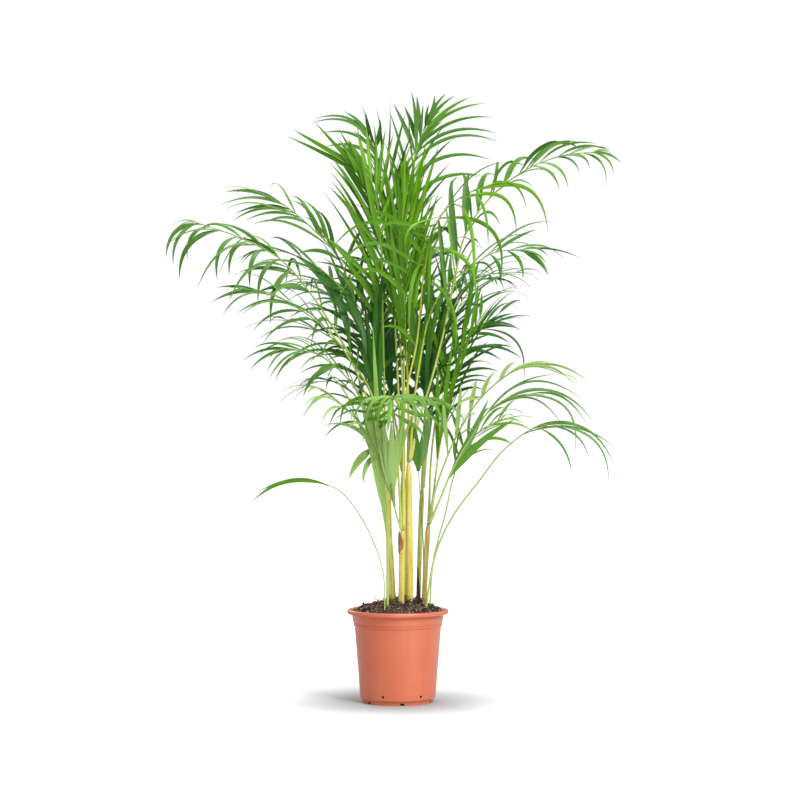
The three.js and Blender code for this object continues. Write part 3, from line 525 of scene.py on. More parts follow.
def ring_faces(rings, sides):
    """Faces of a closed tube: rings of points one after another, then the two ends."""
    faces = []
    for i in range(rings - 1):
        for j in range(sides):
            k = (j + 1) % sides
            faces.append([i * sides + j, i * sides + k,
                          (i + 1) * sides + k, (i + 1) * sides + j])
    faces.append(list(range(sides))[::-1])
    faces.append([(rings - 1) * sides + j for j in range(sides)])
    return faces


def around(centre, radius, wide, high, turn):
    return centre + radius * (math.cos(turn) * wide + math.sin(turn) * high)


def tube(path, radii, sides, squash=None):
    """Points of a tube along path. squash(turn, ring) changes the radius round a ring."""
    count = len(path)
    along = np.gradient(path, axis=0)
    along /= np.linalg.norm(along, axis=1)[:, None]
    wide = square_to(vec(1, 0, 0) if abs(along[0][0]) < 0.8 else vec(0, 1, 0), along[0])
    points = []
    for i in range(count):
        wide = square_to(wide, along[i])
        high = np.cross(along[i], wide)
        for j in range(sides):
            turn = 2 * math.pi * j / sides
            radius = radii[i] * (squash(turn, i / (count - 1)) if squash else 1)
            points.append(around(path[i], radius, wide, high, turn))
    return np.array(points)


# ---- the frond's midrib: a centripetal spline by its length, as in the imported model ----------

def spline(points, samples=60):
    points = [np.array(p, float) for p in points]
    points = [2 * points[0] - points[1], *points, 2 * points[-1] - points[-2]]
    curve = []
    for i in range(1, len(points) - 2):
        a, b, c, d = points[i - 1:i + 3]
        before = np.linalg.norm(b - a) ** 0.5
        here = np.linalg.norm(c - b) ** 0.5
        after = np.linalg.norm(d - c) ** 0.5
        leave = ((b - a) / before - (c - a) / (before + here) + (c - b) / here) * here
        reach = ((c - b) / here - (d - b) / (here + after) + (d - c) / after) * here
        last = i == len(points) - 3
        t = np.linspace(0, 1, samples + 1)[:None if last else -1, None]
        curve.append(b + leave * t + (3 * (c - b) - 2 * leave - reach) * t ** 2
                     + (2 * (b - c) + leave + reach) * t ** 3)
    return np.concatenate(curve)


HEADING_FROM = 0.6  # of its bare part, from where a frond's outward heading is taken
RIB_STEP = 0.004  # share of the route over which its direction is taken


class Rib:
    """The line that a frond's stalk and midrib follow; t runs from 0 to 1 by length."""

    def __init__(self, spec):
        route = [vec(*p) for p in spec["route"]]
        if spec["on"] is None:
            route[0][2] = SOIL_CROWN - ROOT_DEPTH
        else:
            cane = CANES[spec["on"]]
            foot = vec(*cane["top"])
            away = unit((route[0] - foot) * (1, 1, 0))
            route.insert(0, foot + away * (cane["radius"][1] - spec["stalk"]))
        self.line = spline(route)
        steps = np.linalg.norm(np.diff(self.line, axis=0), axis=1)
        self.length = steps.sum()
        self.share = np.concatenate([[0], np.cumsum(steps)]) / self.length
        self.spec = spec
        start = self.at(spec["bare"] * HEADING_FROM)
        self.outward = unit((self.at(1) - start) * (1, 1, 0))

    def at(self, t):
        return np.array([np.interp(t, self.share, self.line[:, i]) for i in range(3)])

    def axes(self, t, face=None):
        """Along the midrib, to its side, and out of the frond's upper face."""
        along = unit(self.at(min(t + RIB_STEP, 1)) - self.at(max(t - RIB_STEP, 0)))
        side = square_to(vec(-self.outward[1], self.outward[0], 0), along)
        side = turned(side, along, self.spec["face"] if face is None else face)
        return along, side, unit(np.cross(along, side))


# ---- leaflets --------------------------------------------------------------------------------

LEAF_NAMES = ("across", "along", "tone", "under")
LEAF_ACROSS = np.array([-1, -0.5, 0, 0.5, 1, 0.5, 0, -0.5])
LEAF_UNDER = np.array([0.5, 0, 0, 0, 0.5, 1, 1, 1])
LEAF_RINGS = 14
LEAF_THICK = 0.45
LEAF_WIDEST = 0.3  # share of its length at which a leaflet is widest
LEAF_FOOT = 0.3  # width at its foot and at its point, as shares of the widest
LEAF_POINT = 0.03
LEAF_TAPER = 2.1  # more keeps the leaflet wide for longer
LEAF_SLIM = 0.72  # of the widths listed above
LEAF_BELLY = 0.25  # more bulges each half further
FOLD_FADE = 0.6  # share of its fold that a leaflet loses towards its point
SHORTEST_LEAFLET = 0.5  # of a frond, as a share of its longest
LEAFLET_SWELL = (0.22, 0.94)  # part of a half turn that the leaflets' lengths follow
LAST_LEAFLET = 0.992  # share of the route at which the last one grows
LAST_SIZE = 0.2  # of the leaflets at the tip, as a share of the longest
LEAST_WIDTH = 0.75  # of a short leaflet, as a share of the longest one's
STAGGER = 0.3  # of the distance between pairs
ANGLE_SPREAD = 5  # degrees, as are the next three
LIFT_SPREAD = 8
TWIST_SPREAD = 26
SINGLE_TWIST_SPREAD = 18
SWAY_SPREAD = 0.16


def leaf_width(s):
    """A leaflet's width along its length, as a share of its widest."""
    rise = LEAF_FOOT + (1 - LEAF_FOOT) * smooth(s / LEAF_WIDEST)
    fall = 1 - (np.clip(s - LEAF_WIDEST, 0, 1) / (1 - LEAF_WIDEST)) ** LEAF_TAPER
    return np.maximum(np.minimum(rise, 1) * fall, LEAF_POINT)


def leaflet(shape, path, across, width, twist, fold, tone):
    """A thin folded blade whose midrib follows path."""
    s = np.linspace(0, 1, len(path))
    tangents = np.gradient(path, axis=0)
    points = []
    for i in range(len(path)):
        along = unit(tangents[i])
        across = square_to(across, along)
        wide = turned(across, along, twist * s[i])
        high = np.cross(along, wide)
        half = LEAF_SLIM * width * leaf_width(s[i]) / 2
        pinch = fold * (1 - FOLD_FADE * s[i])
        flat = math.sqrt(max(1 - pinch ** 2 / 3, 0.2))
        for u, under in zip(LEAF_ACROSS, LEAF_UNDER):
            rise = -abs(u) * half * pinch - (u * u - abs(u)) * half * LEAF_BELLY
            thick = LEAF_THICK * (1 - u * u) * (1 if under == 1 else 0)
            points.append(path[i] + wide * u * half * flat + high * (rise - thick))
    faces = [face[::-1] for face in ring_faces(len(path), len(LEAF_ACROSS))]
    shape.add(np.array(points), faces,
              across=np.tile(LEAF_ACROSS, len(path)),
              along=np.repeat(s, len(LEAF_ACROSS)),
              tone=tone, under=np.tile(LEAF_UNDER, len(path)))


def bending_path(start, heading, length, droop, late, sway):
    """Leaves start along heading, then bends down and a little sideways."""
    down = vec(0, 0, -1)
    swing = unit(np.cross(heading, down) + 1e-6)
    path = [start]
    for s in np.linspace(0, 1, LEAF_RINGS)[1:]:
        along = unit(heading + down * droop * s ** late + swing * sway * s ** 2)
        path.append(path[-1] + along * length / (LEAF_RINGS - 1))
    return np.array(path)


def arched_path(start, tip, rise, late):
    """Runs from start to tip, and in between rises above the straight line."""
    s = np.linspace(0, 1, LEAF_RINGS)[:, None]
    heading = unit(tip - start)
    up = vec(0, 0, 1)
    if abs(heading[2]) < 0.97:
        up = square_to(up, heading)
    peak = late / (late + 1)
    bow = s ** (math.log(0.5) / math.log(peak))
    hump = 4 * bow * (1 - bow)
    return start + (tip - start) * s + up * rise * np.linalg.norm(tip - start) * hump


def leaflets(shape, rib, spec, rng):
    """Pairs of leaflets along the midrib, each a little different."""
    pairs = spec["pairs"]
    for pair in range(pairs):
        share = pair / (pairs - 1) if pairs > 1 else 0
        turn = mix(*spec["angle"], share)
        shortest = mix(SHORTEST_LEAFLET, LAST_SIZE, smooth(share * 2 - 1))
        size = mix(shortest, 1, math.sin(math.pi * mix(*LEAFLET_SWELL, share)))
        for hand in (-1, 1):
            off = 0
            if pairs > 2:
                off = (rng.uniform(-STAGGER, STAGGER) + STAGGER * hand) / pairs
            t = min(spec["bare"] + (1 - spec["bare"]) * max(share + off, 0), LAST_LEAFLET)
            along, side, up = rib.axes(t)
            angle = math.radians(turn + rng.normal(0, ANGLE_SPREAD))
            lift = math.radians(spec["lift"] + rng.normal(0, LIFT_SPREAD))
            heading = unit(math.cos(angle) * along
                           + hand * math.sin(angle) * math.cos(lift) * side
                           + math.sin(angle) * math.sin(lift) * up)
            path = bending_path(
                rib.at(t), heading,
                length=spec["blade"][0] * size * rng.uniform(0.8, 1.08),
                droop=spec["droop"] * rng.uniform(0.55, 1.35),
                late=spec["late"] * rng.uniform(0.85, 1.3), sway=rng.normal(0, SWAY_SPREAD))
            width = spec["blade"][1] * (LEAST_WIDTH + (1 - LEAST_WIDTH) * size)
            leaflet(shape, path, along, width * rng.uniform(0.8, 1.1),
                    twist=rng.normal(0, TWIST_SPREAD), fold=rng.uniform(0.25, 0.55),
                    tone=rng.random() + spec["bright"])


def evenly(line, count):
    """count points along a line, equally far apart."""
    share = np.concatenate([[0], np.cumsum(np.linalg.norm(np.diff(line, axis=0), axis=1))])
    steps = np.linspace(0, share[-1], count)
    return np.stack([np.interp(steps, share, line[:, k]) for k in range(3)], axis=1)


def single(shape, rib, rng, foot, tip, depth, width, rise=0, late=1):
    """One leaflet, placed as listed in SINGLES."""
    if isinstance(foot, tuple):
        away = np.abs(rib.line[:, 0] - foot[0]) + np.abs(rib.line[:, 2] - foot[1])
        foot = rib.share[int(np.argmin(away))]
    foot = min(foot, LAST_LEAFLET)
    start = rib.at(foot)
    along = rib.axes(foot)[0]
    if isinstance(tip, list):
        stops = [vec(x, start[1] + depth * (k + 1) / len(tip), z)
                 for k, (x, z) in enumerate(tip)]
        path = evenly(spline([start, *stops], 12), LEAF_RINGS)
    else:
        path = arched_path(start, vec(tip[0], start[1] + depth, tip[1]), rise, late)
    broadside = unit(np.cross(vec(0, 1, 0), path[-1] - path[0]))
    if np.dot(broadside, along) < 0:
        broadside = -broadside
    leaflet(shape, path, along + rib.spec["facing"] * broadside, width,
            twist=rng.normal(0, SINGLE_TWIST_SPREAD), fold=rng.uniform(0.2, 0.45),
            tone=rng.random() + rib.spec["bright"])


STALK_RINGS = 56
STALK_SIDES = 12
STALK_TAPER = 1.3  # more keeps the stalk thick for longer
SHEATH_SWELL = 0.55  # how much wider a stalk is where it sheathes its cane
SHEATH_SHARE = 0.16  # of its route
GROOVE = 0.3  # depth of its channel, as a share of its radius
GROOVE_END = 0.8  # share of its route at which the channel has faded


def stalk(shape, rib, spec):
    """Petiole and midrib: channelled above, and wide where it sheathes the cane."""
    t = np.linspace(0, 1, STALK_RINGS)
    path = np.array([rib.at(x) for x in t])
    radii = mix(spec["stalk"], STALK_TIP_RADIUS, t ** STALK_TAPER)
    if spec["on"] is not None:
        radii = radii * (1 + SHEATH_SWELL * (1 - smooth(t / SHEATH_SHARE)))
    points = []
    for i in range(STALK_RINGS):
        _, side, up = rib.axes(t[i], face=0)
        for j in range(STALK_SIDES):
            turn = 2 * math.pi * j / STALK_SIDES
            groove = GROOVE * max(math.sin(turn), 0) ** 6 * (1 - smooth(t[i] / GROOVE_END))
            points.append(around(path[i], radii[i] * (1 - groove), side, up, turn))
    shape.add(np.array(points), ring_faces(STALK_RINGS, STALK_SIDES), 1,
              along=np.repeat(t, STALK_SIDES), tone=spec["hue"], across=0.5)


def frond(name, spec, index):
    rng = np.random.default_rng(SEED + index)
    rib = Rib(spec)
    shape = Shape(LEAF_NAMES)
    stalk(shape, rib, spec)
    leaflets(shape, rib, spec, rng)
    for one in SINGLES.get(name, ()):
        single(shape, rib, rng, *one)
    look = LEAVES[spec["look"] or spec["tone"]]
    piece = shape.build(f"palm_{name}", [look, PETIOLE], creases="across")
    place(piece, f"frond_{name}")


def place(piece, node):
    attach(piece, "root")
    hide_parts(node)


# ---- materials -------------------------------------------------------------------------------

class Nodes:
    """Short calls for a material's node tree."""

    def __init__(self, name):
        self.material = bpy.data.materials.new(name)
        self.material.use_nodes = True
        self.tree = self.material.node_tree
        self.shader = self.tree.nodes["Principled BSDF"]
        self.output = self.tree.nodes["Material Output"]

    def put(self, socket, value):
        if isinstance(value, bpy.types.NodeSocket):
            self.tree.links.new(value, socket)
        elif isinstance(value, tuple) and len(value) == 3 and socket.type == "RGBA":
            socket.default_value = (*value, 1)
        else:
            socket.default_value = value

    def node(self, kind, out=0, fields=None, **inputs):
        made = self.tree.nodes.new(kind)
        for key, value in (fields or {}).items():
            setattr(made, key, value)
        for key, value in inputs.items():
            self.put(made.inputs[key.replace("_", " ")], value)
        return made.outputs[out]

    def math(self, operation, a, b=0.0, clamp=False):
        made = self.tree.nodes.new("ShaderNodeMath")
        made.operation = operation
        made.use_clamp = clamp
        self.put(made.inputs[0], a)
        self.put(made.inputs[1], b)
        return made.outputs[0]

    def attribute(self, name):
        return self.node("ShaderNodeAttribute", "Fac", {"attribute_name": name})

    def ramp(self, value, stops):
        made = self.tree.nodes.new("ShaderNodeValToRGB")
        elements = made.color_ramp.elements
        while len(elements) < len(stops):
            elements.new(0.5)
        for element, (position, colour) in zip(elements, stops):
            element.position = position
            element.color = (*colour, 1) if isinstance(colour, tuple) else (colour,) * 3 + (1,)
        self.put(made.inputs[0], value)
        return made.outputs[0]

    def plus(self, a, b, by=1.0):
        """a + b * by"""
        return self.math("ADD", a, b if by == 1 else self.times(b, by))

    def times(self, a, b):
        return self.math("MULTIPLY", a, b)

    def tint(self, colour, other, mask, *stops):
        """colour, turning into other by the shares that stops give along mask."""
        return self.blend(self.ramp(mask, stops), colour, other)

    def blend(self, share, a, b):
        made = self.tree.nodes.new("ShaderNodeMix")
        made.data_type = "RGBA"
        self.put(made.inputs[0], share)
        self.put(made.inputs[6], a)
        self.put(made.inputs[7], b)
        return made.outputs[2]

    def coords(self):
        return self.node("ShaderNodeTexCoord", "Object")

    def stretched(self, scale):
        return self.node("ShaderNodeMapping", 0, None, Vector=self.coords(), Scale=scale)

    def specks(self, scale, vector=None):
        """Distance to scattered points."""
        return self.node("ShaderNodeTexVoronoi", 0, None, Vector=vector or self.coords(),
                         Scale=scale)

    def noise(self, scale, detail=3.0, roughness=0.5, stretch=None):
        vector = self.stretched(stretch) if stretch else self.coords()
        return self.node("ShaderNodeTexNoise", 0, None, Vector=vector, Scale=scale,
                         Detail=detail, Roughness=roughness)

    def bump(self, height, distance, strength=1.0):
        normal = self.node("ShaderNodeBump", 0, None, Height=height, Distance=distance,
                           Strength=strength)
        self.put(self.shader.inputs["Normal"], normal)
        return normal

    def set(self, **values):
        for key, value in values.items():
            self.put(self.shader.inputs[key.replace("_", " ")], value)


def srgb(r, g, b):
    """A colour as seen on a screen, 0 to 255, as the shaders take it."""
    return tuple((c / 255 / 12.92) if c <= 10 else ((c / 255 + 0.055) / 1.055) ** 2.4
                 for c in (r, g, b))


LEAF_COLOURS = {
    # young half of the leaflets, old half, underside
    "bright": (srgb(128, 190, 6), srgb(40, 102, 2), srgb(88, 144, 22)),
    "mid": (srgb(98, 162, 30), srgb(38, 96, 18), srgb(88, 134, 52)),
    "dark": (srgb(66, 130, 24), srgb(18, 68, 16), srgb(68, 118, 42)),
    "pale": (srgb(166, 206, 100), srgb(122, 172, 64), srgb(168, 202, 116)),
}
TRANSLUCENCE = 0.28
SEEN_THROUGH = srgb(126, 184, 6)


def leaf_material(name):
    young, old, below = LEAF_COLOURS[name]
    n = Nodes(f"leaf_{name}")
    across, along = n.attribute("across"), n.attribute("along")
    tone, under = n.attribute("tone"), n.attribute("under")
    shade = n.plus(n.times(tone, 0.7), n.noise(22.0, 4.0, 0.55), 0.5)
    fresh = tuple(mix(c, 0.55, 0.22) for c in young)
    colour = n.ramp(n.times(shade, 0.7), [(0.14, old), (0.66, young), (1.0, fresh)])
    veins = n.plus(n.times(n.math("SINE", n.times(across, 34.0)), 0.5), 0.5)
    fine = n.noise(900.0, 2.0)
    streaks = n.times(veins, n.plus(n.times(fine, 0.6), 0.35))
    colour = n.blend(n.times(streaks, 0.2), colour, young)
    midrib = n.ramp(n.math("ABSOLUTE", across), [(0.0, 1.0), (0.07, 0.0)])
    pale_green = tuple(mix(c, 0.6, 0.35) for c in young)
    colour = n.blend(n.times(midrib, 0.45), colour, pale_green)
    base = n.ramp(along, [(0.0, 1.0), (0.1, 0.0)])
    colour = n.blend(n.times(base, 0.5), colour, srgb(176, 190, 84))
    colour = n.blend(n.times(under, 0.75), colour, below)
    dry = n.plus(n.plus(along, n.noise(60.0, 3.0), 0.12), tone, 0.03)
    tips = n.ramp(dry, [(1.03, 0.0), (1.08, 1.0)])
    colour = n.blend(n.times(tips, 0.8), colour, srgb(150, 128, 70))
    spots = n.ramp(n.specks(55.0), [(0.03, 1.0), (0.08, 0.0)])
    spotted = n.ramp(n.noise(9.0, 2.0), [(0.55, 0.0), (0.7, 1.0)])
    colour = n.blend(n.times(n.times(spots, spotted), 0.5), colour, srgb(120, 105, 50))
    n.set(Base_Color=colour, Specular_IOR_Level=0.3)
    n.set(Roughness=n.ramp(n.noise(140.0, 3.0), [(0.3, 0.32), (0.7, 0.46)]))
    normal = n.bump(n.plus(veins, fine, 0.5), 0.00012, 0.5)
    through = n.node("ShaderNodeBsdfTranslucent", 0, None, Normal=normal,
                     Color=n.blend(0.4, colour, SEEN_THROUGH))
    mixed = n.tree.nodes.new("ShaderNodeMixShader")
    mixed.inputs[0].default_value = TRANSLUCENCE
    n.put(mixed.inputs[1], n.shader.outputs[0])
    n.put(mixed.inputs[2], through)
    n.put(n.output.inputs["Surface"], mixed.outputs[0])
    return n.material


def petiole_material():
    n = Nodes("petiole")
    along, hue = n.attribute("along"), n.attribute("tone")
    green = n.ramp(along, [(0.0, srgb(178, 204, 132)), (0.45, srgb(138, 182, 84)),
                           (0.8, srgb(94, 146, 40)), (1.0, srgb(84, 136, 34))])
    yellow = n.ramp(along, [(0.0, srgb(216, 204, 80)), (0.45, srgb(200, 200, 50)),
                            (0.8, srgb(136, 168, 36)), (1.0, srgb(104, 148, 32))])
    colour = n.blend(hue, green, yellow)
    streaks = n.noise(1.0, 4.0, 0.6, stretch=(420.0, 420.0, 14.0))
    colour = n.tint(colour, srgb(214, 176, 62), streaks, (0.45, 0.0), (0.75, 0.45))
    colour = n.tint(colour, srgb(90, 70, 40), n.specks(160.0), (0.06, 0.55), (0.12, 0.0))
    n.set(Base_Color=colour, Roughness=n.ramp(n.noise(90.0), [(0.3, 0.32), (0.7, 0.5)]))
    n.bump(streaks, 0.0002, 0.6)
    return n.material


def cane_material():
    n = Nodes("cane_sheath")
    along, green = n.attribute("along"), n.attribute("tone")
    streaks = n.noise(1.0, 5.0, 0.62, stretch=(380.0, 380.0, 7.0))
    base = n.ramp(streaks, [(0.25, srgb(188, 150, 54)), (0.45, srgb(222, 204, 92)),
                            (0.8, srgb(232, 218, 138))])
    fresh = n.ramp(streaks, [(0.25, srgb(120, 150, 70)), (0.7, srgb(166, 190, 112))])
    greener = n.times(green, n.ramp(along, [(0.1, 0.55), (0.9, 1.0)]))
    patch = n.ramp(n.noise(11.0, 2.0, stretch=(3.0, 3.0, 0.8)), [(0.4, 0.7), (0.6, 1.15)])
    colour = n.blend(n.math("MULTIPLY", greener, patch, clamp=True), base, fresh)
    orange = n.noise(1.0, 3.0, 0.5, stretch=(120.0, 120.0, 5.0))
    colour = n.tint(colour, srgb(168, 108, 42), orange, (0.52, 0.0), (0.7, 0.75))
    specks = n.specks(210.0, n.stretched((1, 1, 0.55)))
    colour = n.tint(colour, srgb(74, 58, 40), specks, (0.1, 0.85), (0.17, 0.0))
    low = n.plus(along, n.noise(70.0, 4.0), 0.12)
    colour = n.tint(colour, srgb(96, 66, 44), low, (0.1, 0.85), (0.19, 0.0))
    n.set(Base_Color=colour, Roughness=n.ramp(n.noise(60.0), [(0.3, 0.3), (0.7, 0.48)]))
    n.bump(streaks, 0.0003, 0.5)
    return n.material


def pot_material():
    n = Nodes("pot_plastic")
    cloud = n.noise(9.0, 3.0, 0.5)
    colour = n.ramp(cloud, [(0.3, srgb(208, 105, 73)), (0.7, srgb(218, 117, 83))])
    grime = n.noise(30.0, 6.0, 0.7, stretch=(1.0, 1.0, 0.35))
    colour = n.tint(colour, srgb(190, 110, 84), grime, (0.62, 0.0), (0.78, 0.16))
    # Lighter vertical bands round the wall: painted highlights, standing in for soft vertical
    # reflections of the studio lamps.
    painted_highlight_bands = n.noise(1.0, 2.0, 0.5, stretch=(34.0, 34.0, 3.0))
    colour = n.tint(colour, srgb(234, 152, 122), painted_highlight_bands, (0.45, 0.0), (0.75, 0.28))
    dust = n.noise(420.0, 2.0)
    colour = n.tint(colour, srgb(250, 190, 165), dust, (0.66, 0.0), (0.8, 0.12))
    scuffs = n.noise(1.0, 3.0, 0.7, stretch=(14.0, 14.0, 160.0))
    rough = n.plus(n.times(grime, 0.16), scuffs, 0.1)
    n.set(Base_Color=colour, Specular_IOR_Level=0.5, Roughness=n.plus(rough, 0.18))
    orange_peel = n.noise(260.0, 2.0)
    rings = n.noise(1.0, 2.0, 0.5, stretch=(1.0, 1.0, 190.0))
    n.bump(n.plus(n.times(orange_peel, 0.35), rings, 0.65), 0.0003, 0.2)
    return n.material


def soil_material():
    n = Nodes("potting_soil")
    tone = n.attribute("tone")
    grain = n.noise(320.0, 6.0, 0.7)
    value = n.plus(n.times(grain, 0.7), tone, 0.5)
    colour = n.ramp(value, [(0.3, srgb(28, 20, 18)), (0.48, srgb(66, 50, 44)),
                            (0.66, srgb(124, 100, 86)), (0.9, srgb(196, 170, 146))])
    n.set(Base_Color=colour, Roughness=0.9, Specular_IOR_Level=0.25)
    n.bump(n.noise(700.0, 5.0, 0.7), 0.0012, 0.9)
    return n.material


def dry_material(name, dark, light):
    n = Nodes(name)
    grain = n.noise(1.0, 6.0, 0.7, stretch=(300.0, 300.0, 22.0))
    colour = n.ramp(grain, [(0.3, dark), (0.62, light)])
    colour = n.tint(colour, dark, n.noise(70.0, 3.0), (0.4, 0.0), (0.7, 0.5))
    n.set(Base_Color=colour, Roughness=0.78, Specular_IOR_Level=0.3)
    n.bump(grain, 0.0006, 0.8)
    return n.material


LEAVES = {name: leaf_material(name) for name in LEAF_COLOURS}
PETIOLE = petiole_material()
CANE = cane_material()


# ---- pot ---------------------------------------------------------------------------------------

POT_TURNS = 192
POT_SHARP = 38  # degrees from which an edge shows as sharp
CUT_REACH = 9.0  # how far a cutter for a round hole goes to either side of the wall
NOTCH_SLANT = 1.2  # by which each side of a notch leans in
NOTCH_REACH = (-7, 8)  # of its cutter, from the foot's outside
UP = vec(0, 0, 1)


def pot_profile():
    """The wall, band, lip and floor, anticlockwise from the foot, as (radius, height)."""
    wall = [
        (FOOT_RADIUS - FOOT_WIDTH + 0.4, 0.0), (FOOT_RADIUS - 0.5, 0.0),
        (FOOT_RADIUS, 0.5), (FOOT_RADIUS + 0.5, 6.4), (FOOT_RADIUS + 0.9, 7.0),
        (WALL_BOTTOM_RADIUS - 1.2, 7.6), (WALL_BOTTOM_RADIUS - 0.5, 8.4),
        (WALL_BOTTOM_RADIUS - 0.1, 10.0), (WALL_BOTTOM_RADIUS + 0.1, 13.0),
    ]
    for k in range(1, 12):
        share = k / 12
        wall.append((mix(WALL_BOTTOM_RADIUS, WALL_TOP_RADIUS, share),
                     mix(WALL_BOTTOM, BAND_BOTTOM - 1, share)))
    wall += [
        (WALL_TOP_RADIUS, BAND_BOTTOM - 2.6), (WALL_TOP_RADIUS + 0.25, BAND_BOTTOM - 1.4),
        (BAND_BOTTOM_RADIUS - 0.5, BAND_BOTTOM - 0.7), (BAND_BOTTOM_RADIUS, BAND_BOTTOM),
        (BAND_BOTTOM_RADIUS + 0.2, BAND_BOTTOM + 2.6),
        (BAND_BOTTOM_RADIUS - 0.5, BAND_BOTTOM + 3.1),
        (BAND_BOTTOM_RADIUS - 0.5, BAND_BOTTOM + 4.2),
        (BAND_BOTTOM_RADIUS + 0.5, BAND_BOTTOM + 4.8),
        (BAND_TOP_RADIUS - 0.5, 158.0), (BAND_TOP_RADIUS, 162.0),
        (BAND_TOP_RADIUS + 0.6, 163.4), (BAND_TOP_RADIUS + 2.4, 164.2),
        (RIM_RADIUS - 2.2, 164.8), (RIM_RADIUS - 0.6, 165.6), (RIM_RADIUS - 0.1, 167.0),
        (RIM_RADIUS, 169.0), (RIM_RADIUS - 0.4, 171.2), (RIM_RADIUS - 1.4, 172.5),
        (RIM_RADIUS - 2.6, POT_HEIGHT), (RIM_RADIUS - 4.0, 172.6),
        (RIM_RADIUS - 5.4, 171.4), (RIM_RADIUS - 7.0, 168.0),
        (BAND_TOP_RADIUS - WALL + 1.2, 163.6), (BAND_TOP_RADIUS - WALL, 160.0),
        (BAND_BOTTOM_RADIUS - WALL, BAND_BOTTOM + 1.5),
        (WALL_TOP_RADIUS - WALL, BAND_BOTTOM - 1.0),
        (mix(WALL_BOTTOM_RADIUS, WALL_TOP_RADIUS, 0.5) - WALL, 78.0),
        (WALL_BOTTOM_RADIUS - WALL, WALL_BOTTOM + WALL),
        (FOOT_RADIUS - 1.0, FLOOR_UNDERSIDE + WALL + 0.6),
        (FOOT_RADIUS - 3.0, FLOOR_UNDERSIDE + WALL), (0.0, FLOOR_UNDERSIDE + WALL),
        (0.0, FLOOR_UNDERSIDE), (FOOT_RADIUS - FOOT_WIDTH - 0.6, FLOOR_UNDERSIDE),
        (FOOT_RADIUS - FOOT_WIDTH, FLOOR_UNDERSIDE - 0.6),
        (FOOT_RADIUS - FOOT_WIDTH, 0.4),
    ]
    return wall


def pot():
    shell = lathe("pot_shell", pot_profile(), POT_TURNS)
    cutters = []
    for k in range(NOTCHES):
        out = outward(NOTCH_ANGLE + 360 * k / NOTCHES)
        beside = outward(NOTCH_ANGLE - 180 / NOTCHES + 360 * k / NOTCHES)
        cutters.append(notch_cutter(out))
        cutters.append(rod(beside * WALL_BOTTOM_RADIUS + UP * SIDE_HOLE_Z, beside,
                           SIDE_HOLE_RADIUS, 24))
        cutters.append(rod(out * FLOOR_HOLE_RING + UP * FLOOR_UNDERSIDE, UP,
                           FLOOR_HOLE_RADIUS, 32))
    piece = cut(shell, cutters)
    piece.data.materials.append(pot_material())
    piece.data.polygons.foreach_set("use_smooth", [True] * len(piece.data.polygons))
    piece.data.set_sharp_from_angle(angle=math.radians(POT_SHARP))
    place(piece, "pot")


def outward(degrees):
    return vec(math.cos(math.radians(degrees)), math.sin(math.radians(degrees)), 0)


def lathe(name, profile, turns):
    """A closed body from a profile that runs anticlockwise; radius 0 is on the axis."""
    points, rows = [], []
    for radius, z in profile:
        if radius == 0:
            rows.append([len(points)] * turns)
            points.append((0, 0, z))
            continue
        rows.append(list(range(len(points), len(points) + turns)))
        for j in range(turns):
            turn = 2 * math.pi * j / turns
            points.append((radius * math.cos(turn), radius * math.sin(turn), z))
    faces = []
    for i, row in enumerate(rows):
        after = rows[(i + 1) % len(rows)]
        for j in range(turns):
            k = (j + 1) % turns
            corners = []
            for corner in (row[j], row[k], after[k], after[j]):
                if corner not in corners:
                    corners.append(corner)
            if len(corners) > 2:
                faces.append(corners)
    return mesh_object(name, np.array(points), faces)


def notch_cutter(out):
    """A trapezoid bar across the foot ring: the notch is wider at the floor."""
    sideways = vec(-out[1], out[0], 0)
    wide = NOTCH_WIDTH / 2
    narrow = wide - NOTCH_SLANT
    profile = [(-wide, -1.0), (wide, -1.0), (narrow, NOTCH_HEIGHT), (-narrow, NOTCH_HEIGHT)]
    points = [out * (FOOT_RADIUS + reach) + sideways * w + UP * z
              for reach in NOTCH_REACH for w, z in profile]
    faces = [[3, 2, 1, 0], [4, 5, 6, 7], [0, 1, 5, 4], [1, 2, 6, 5], [2, 3, 7, 6],
             [3, 0, 4, 7]]
    return mesh_object("notch", points, faces)


def rod(centre, axis, radius, sides):
    """A cutter for a round hole."""
    path = np.array([centre - axis * CUT_REACH, centre + axis * CUT_REACH])
    return mesh_object("rod", tube(path, [radius, radius], sides), ring_faces(2, sides))


def cut(body, cutters):
    """body less the cutters, with the modifiers applied and the cutters removed."""
    for cutter in cutters:
        modifier = body.modifiers.new("cut", "BOOLEAN")
        modifier.operation = "DIFFERENCE"
        modifier.solver = "EXACT"
        modifier.object = cutter
    graph = bpy.context.evaluated_depsgraph_get()
    mesh = bpy.data.meshes.new_from_object(body.evaluated_get(graph))
    thing = linked("palm_pot", mesh)
    for leftover in [body, *cutters]:
        bpy.data.objects.remove(leftover)
    return thing


# ---- soil --------------------------------------------------------------------------------------

SOIL_ROWS = 74
SOIL_TURNS = 220
SOIL_UNDERSIDE = (78.0, 132.0)  # radius and height, hidden in the pot
CHIPS = 900
FIBRES = 420
FIBRES_PER_CANE = 60
SOIL_REACH = 82.0  # chips and fibres stay within this radius
FIBRE_STEPS = 5


def soil_level(radius):
    """Height of the mound's even surface at a distance from the axis."""
    return np.interp(radius, [0, 16, 38, 62, 76, 84.2],
                     [SOIL_CROWN, SOIL_CROWN, 184, 179, 174, SOIL_EDGE])


def rough(x, y, scale, octaves=4):
    return noise.fractal(Vector((x * scale, y * scale, 3.7)), 0.8, 2.1, octaves)


def soil_height(x, y):
    radius = math.hypot(x, y)
    height = float(soil_level(radius))
    height += 3.4 * rough(x, y, 0.055) + 2.4 * rough(x + 50, y, 0.17)
    for cane in CANES.values():
        away = math.hypot(x - cane["base"][0], y - cane["base"][1])
        height += 5.0 * math.exp(-(away / 9) ** 2)
    return min(height, SOIL_CROWN + 6)


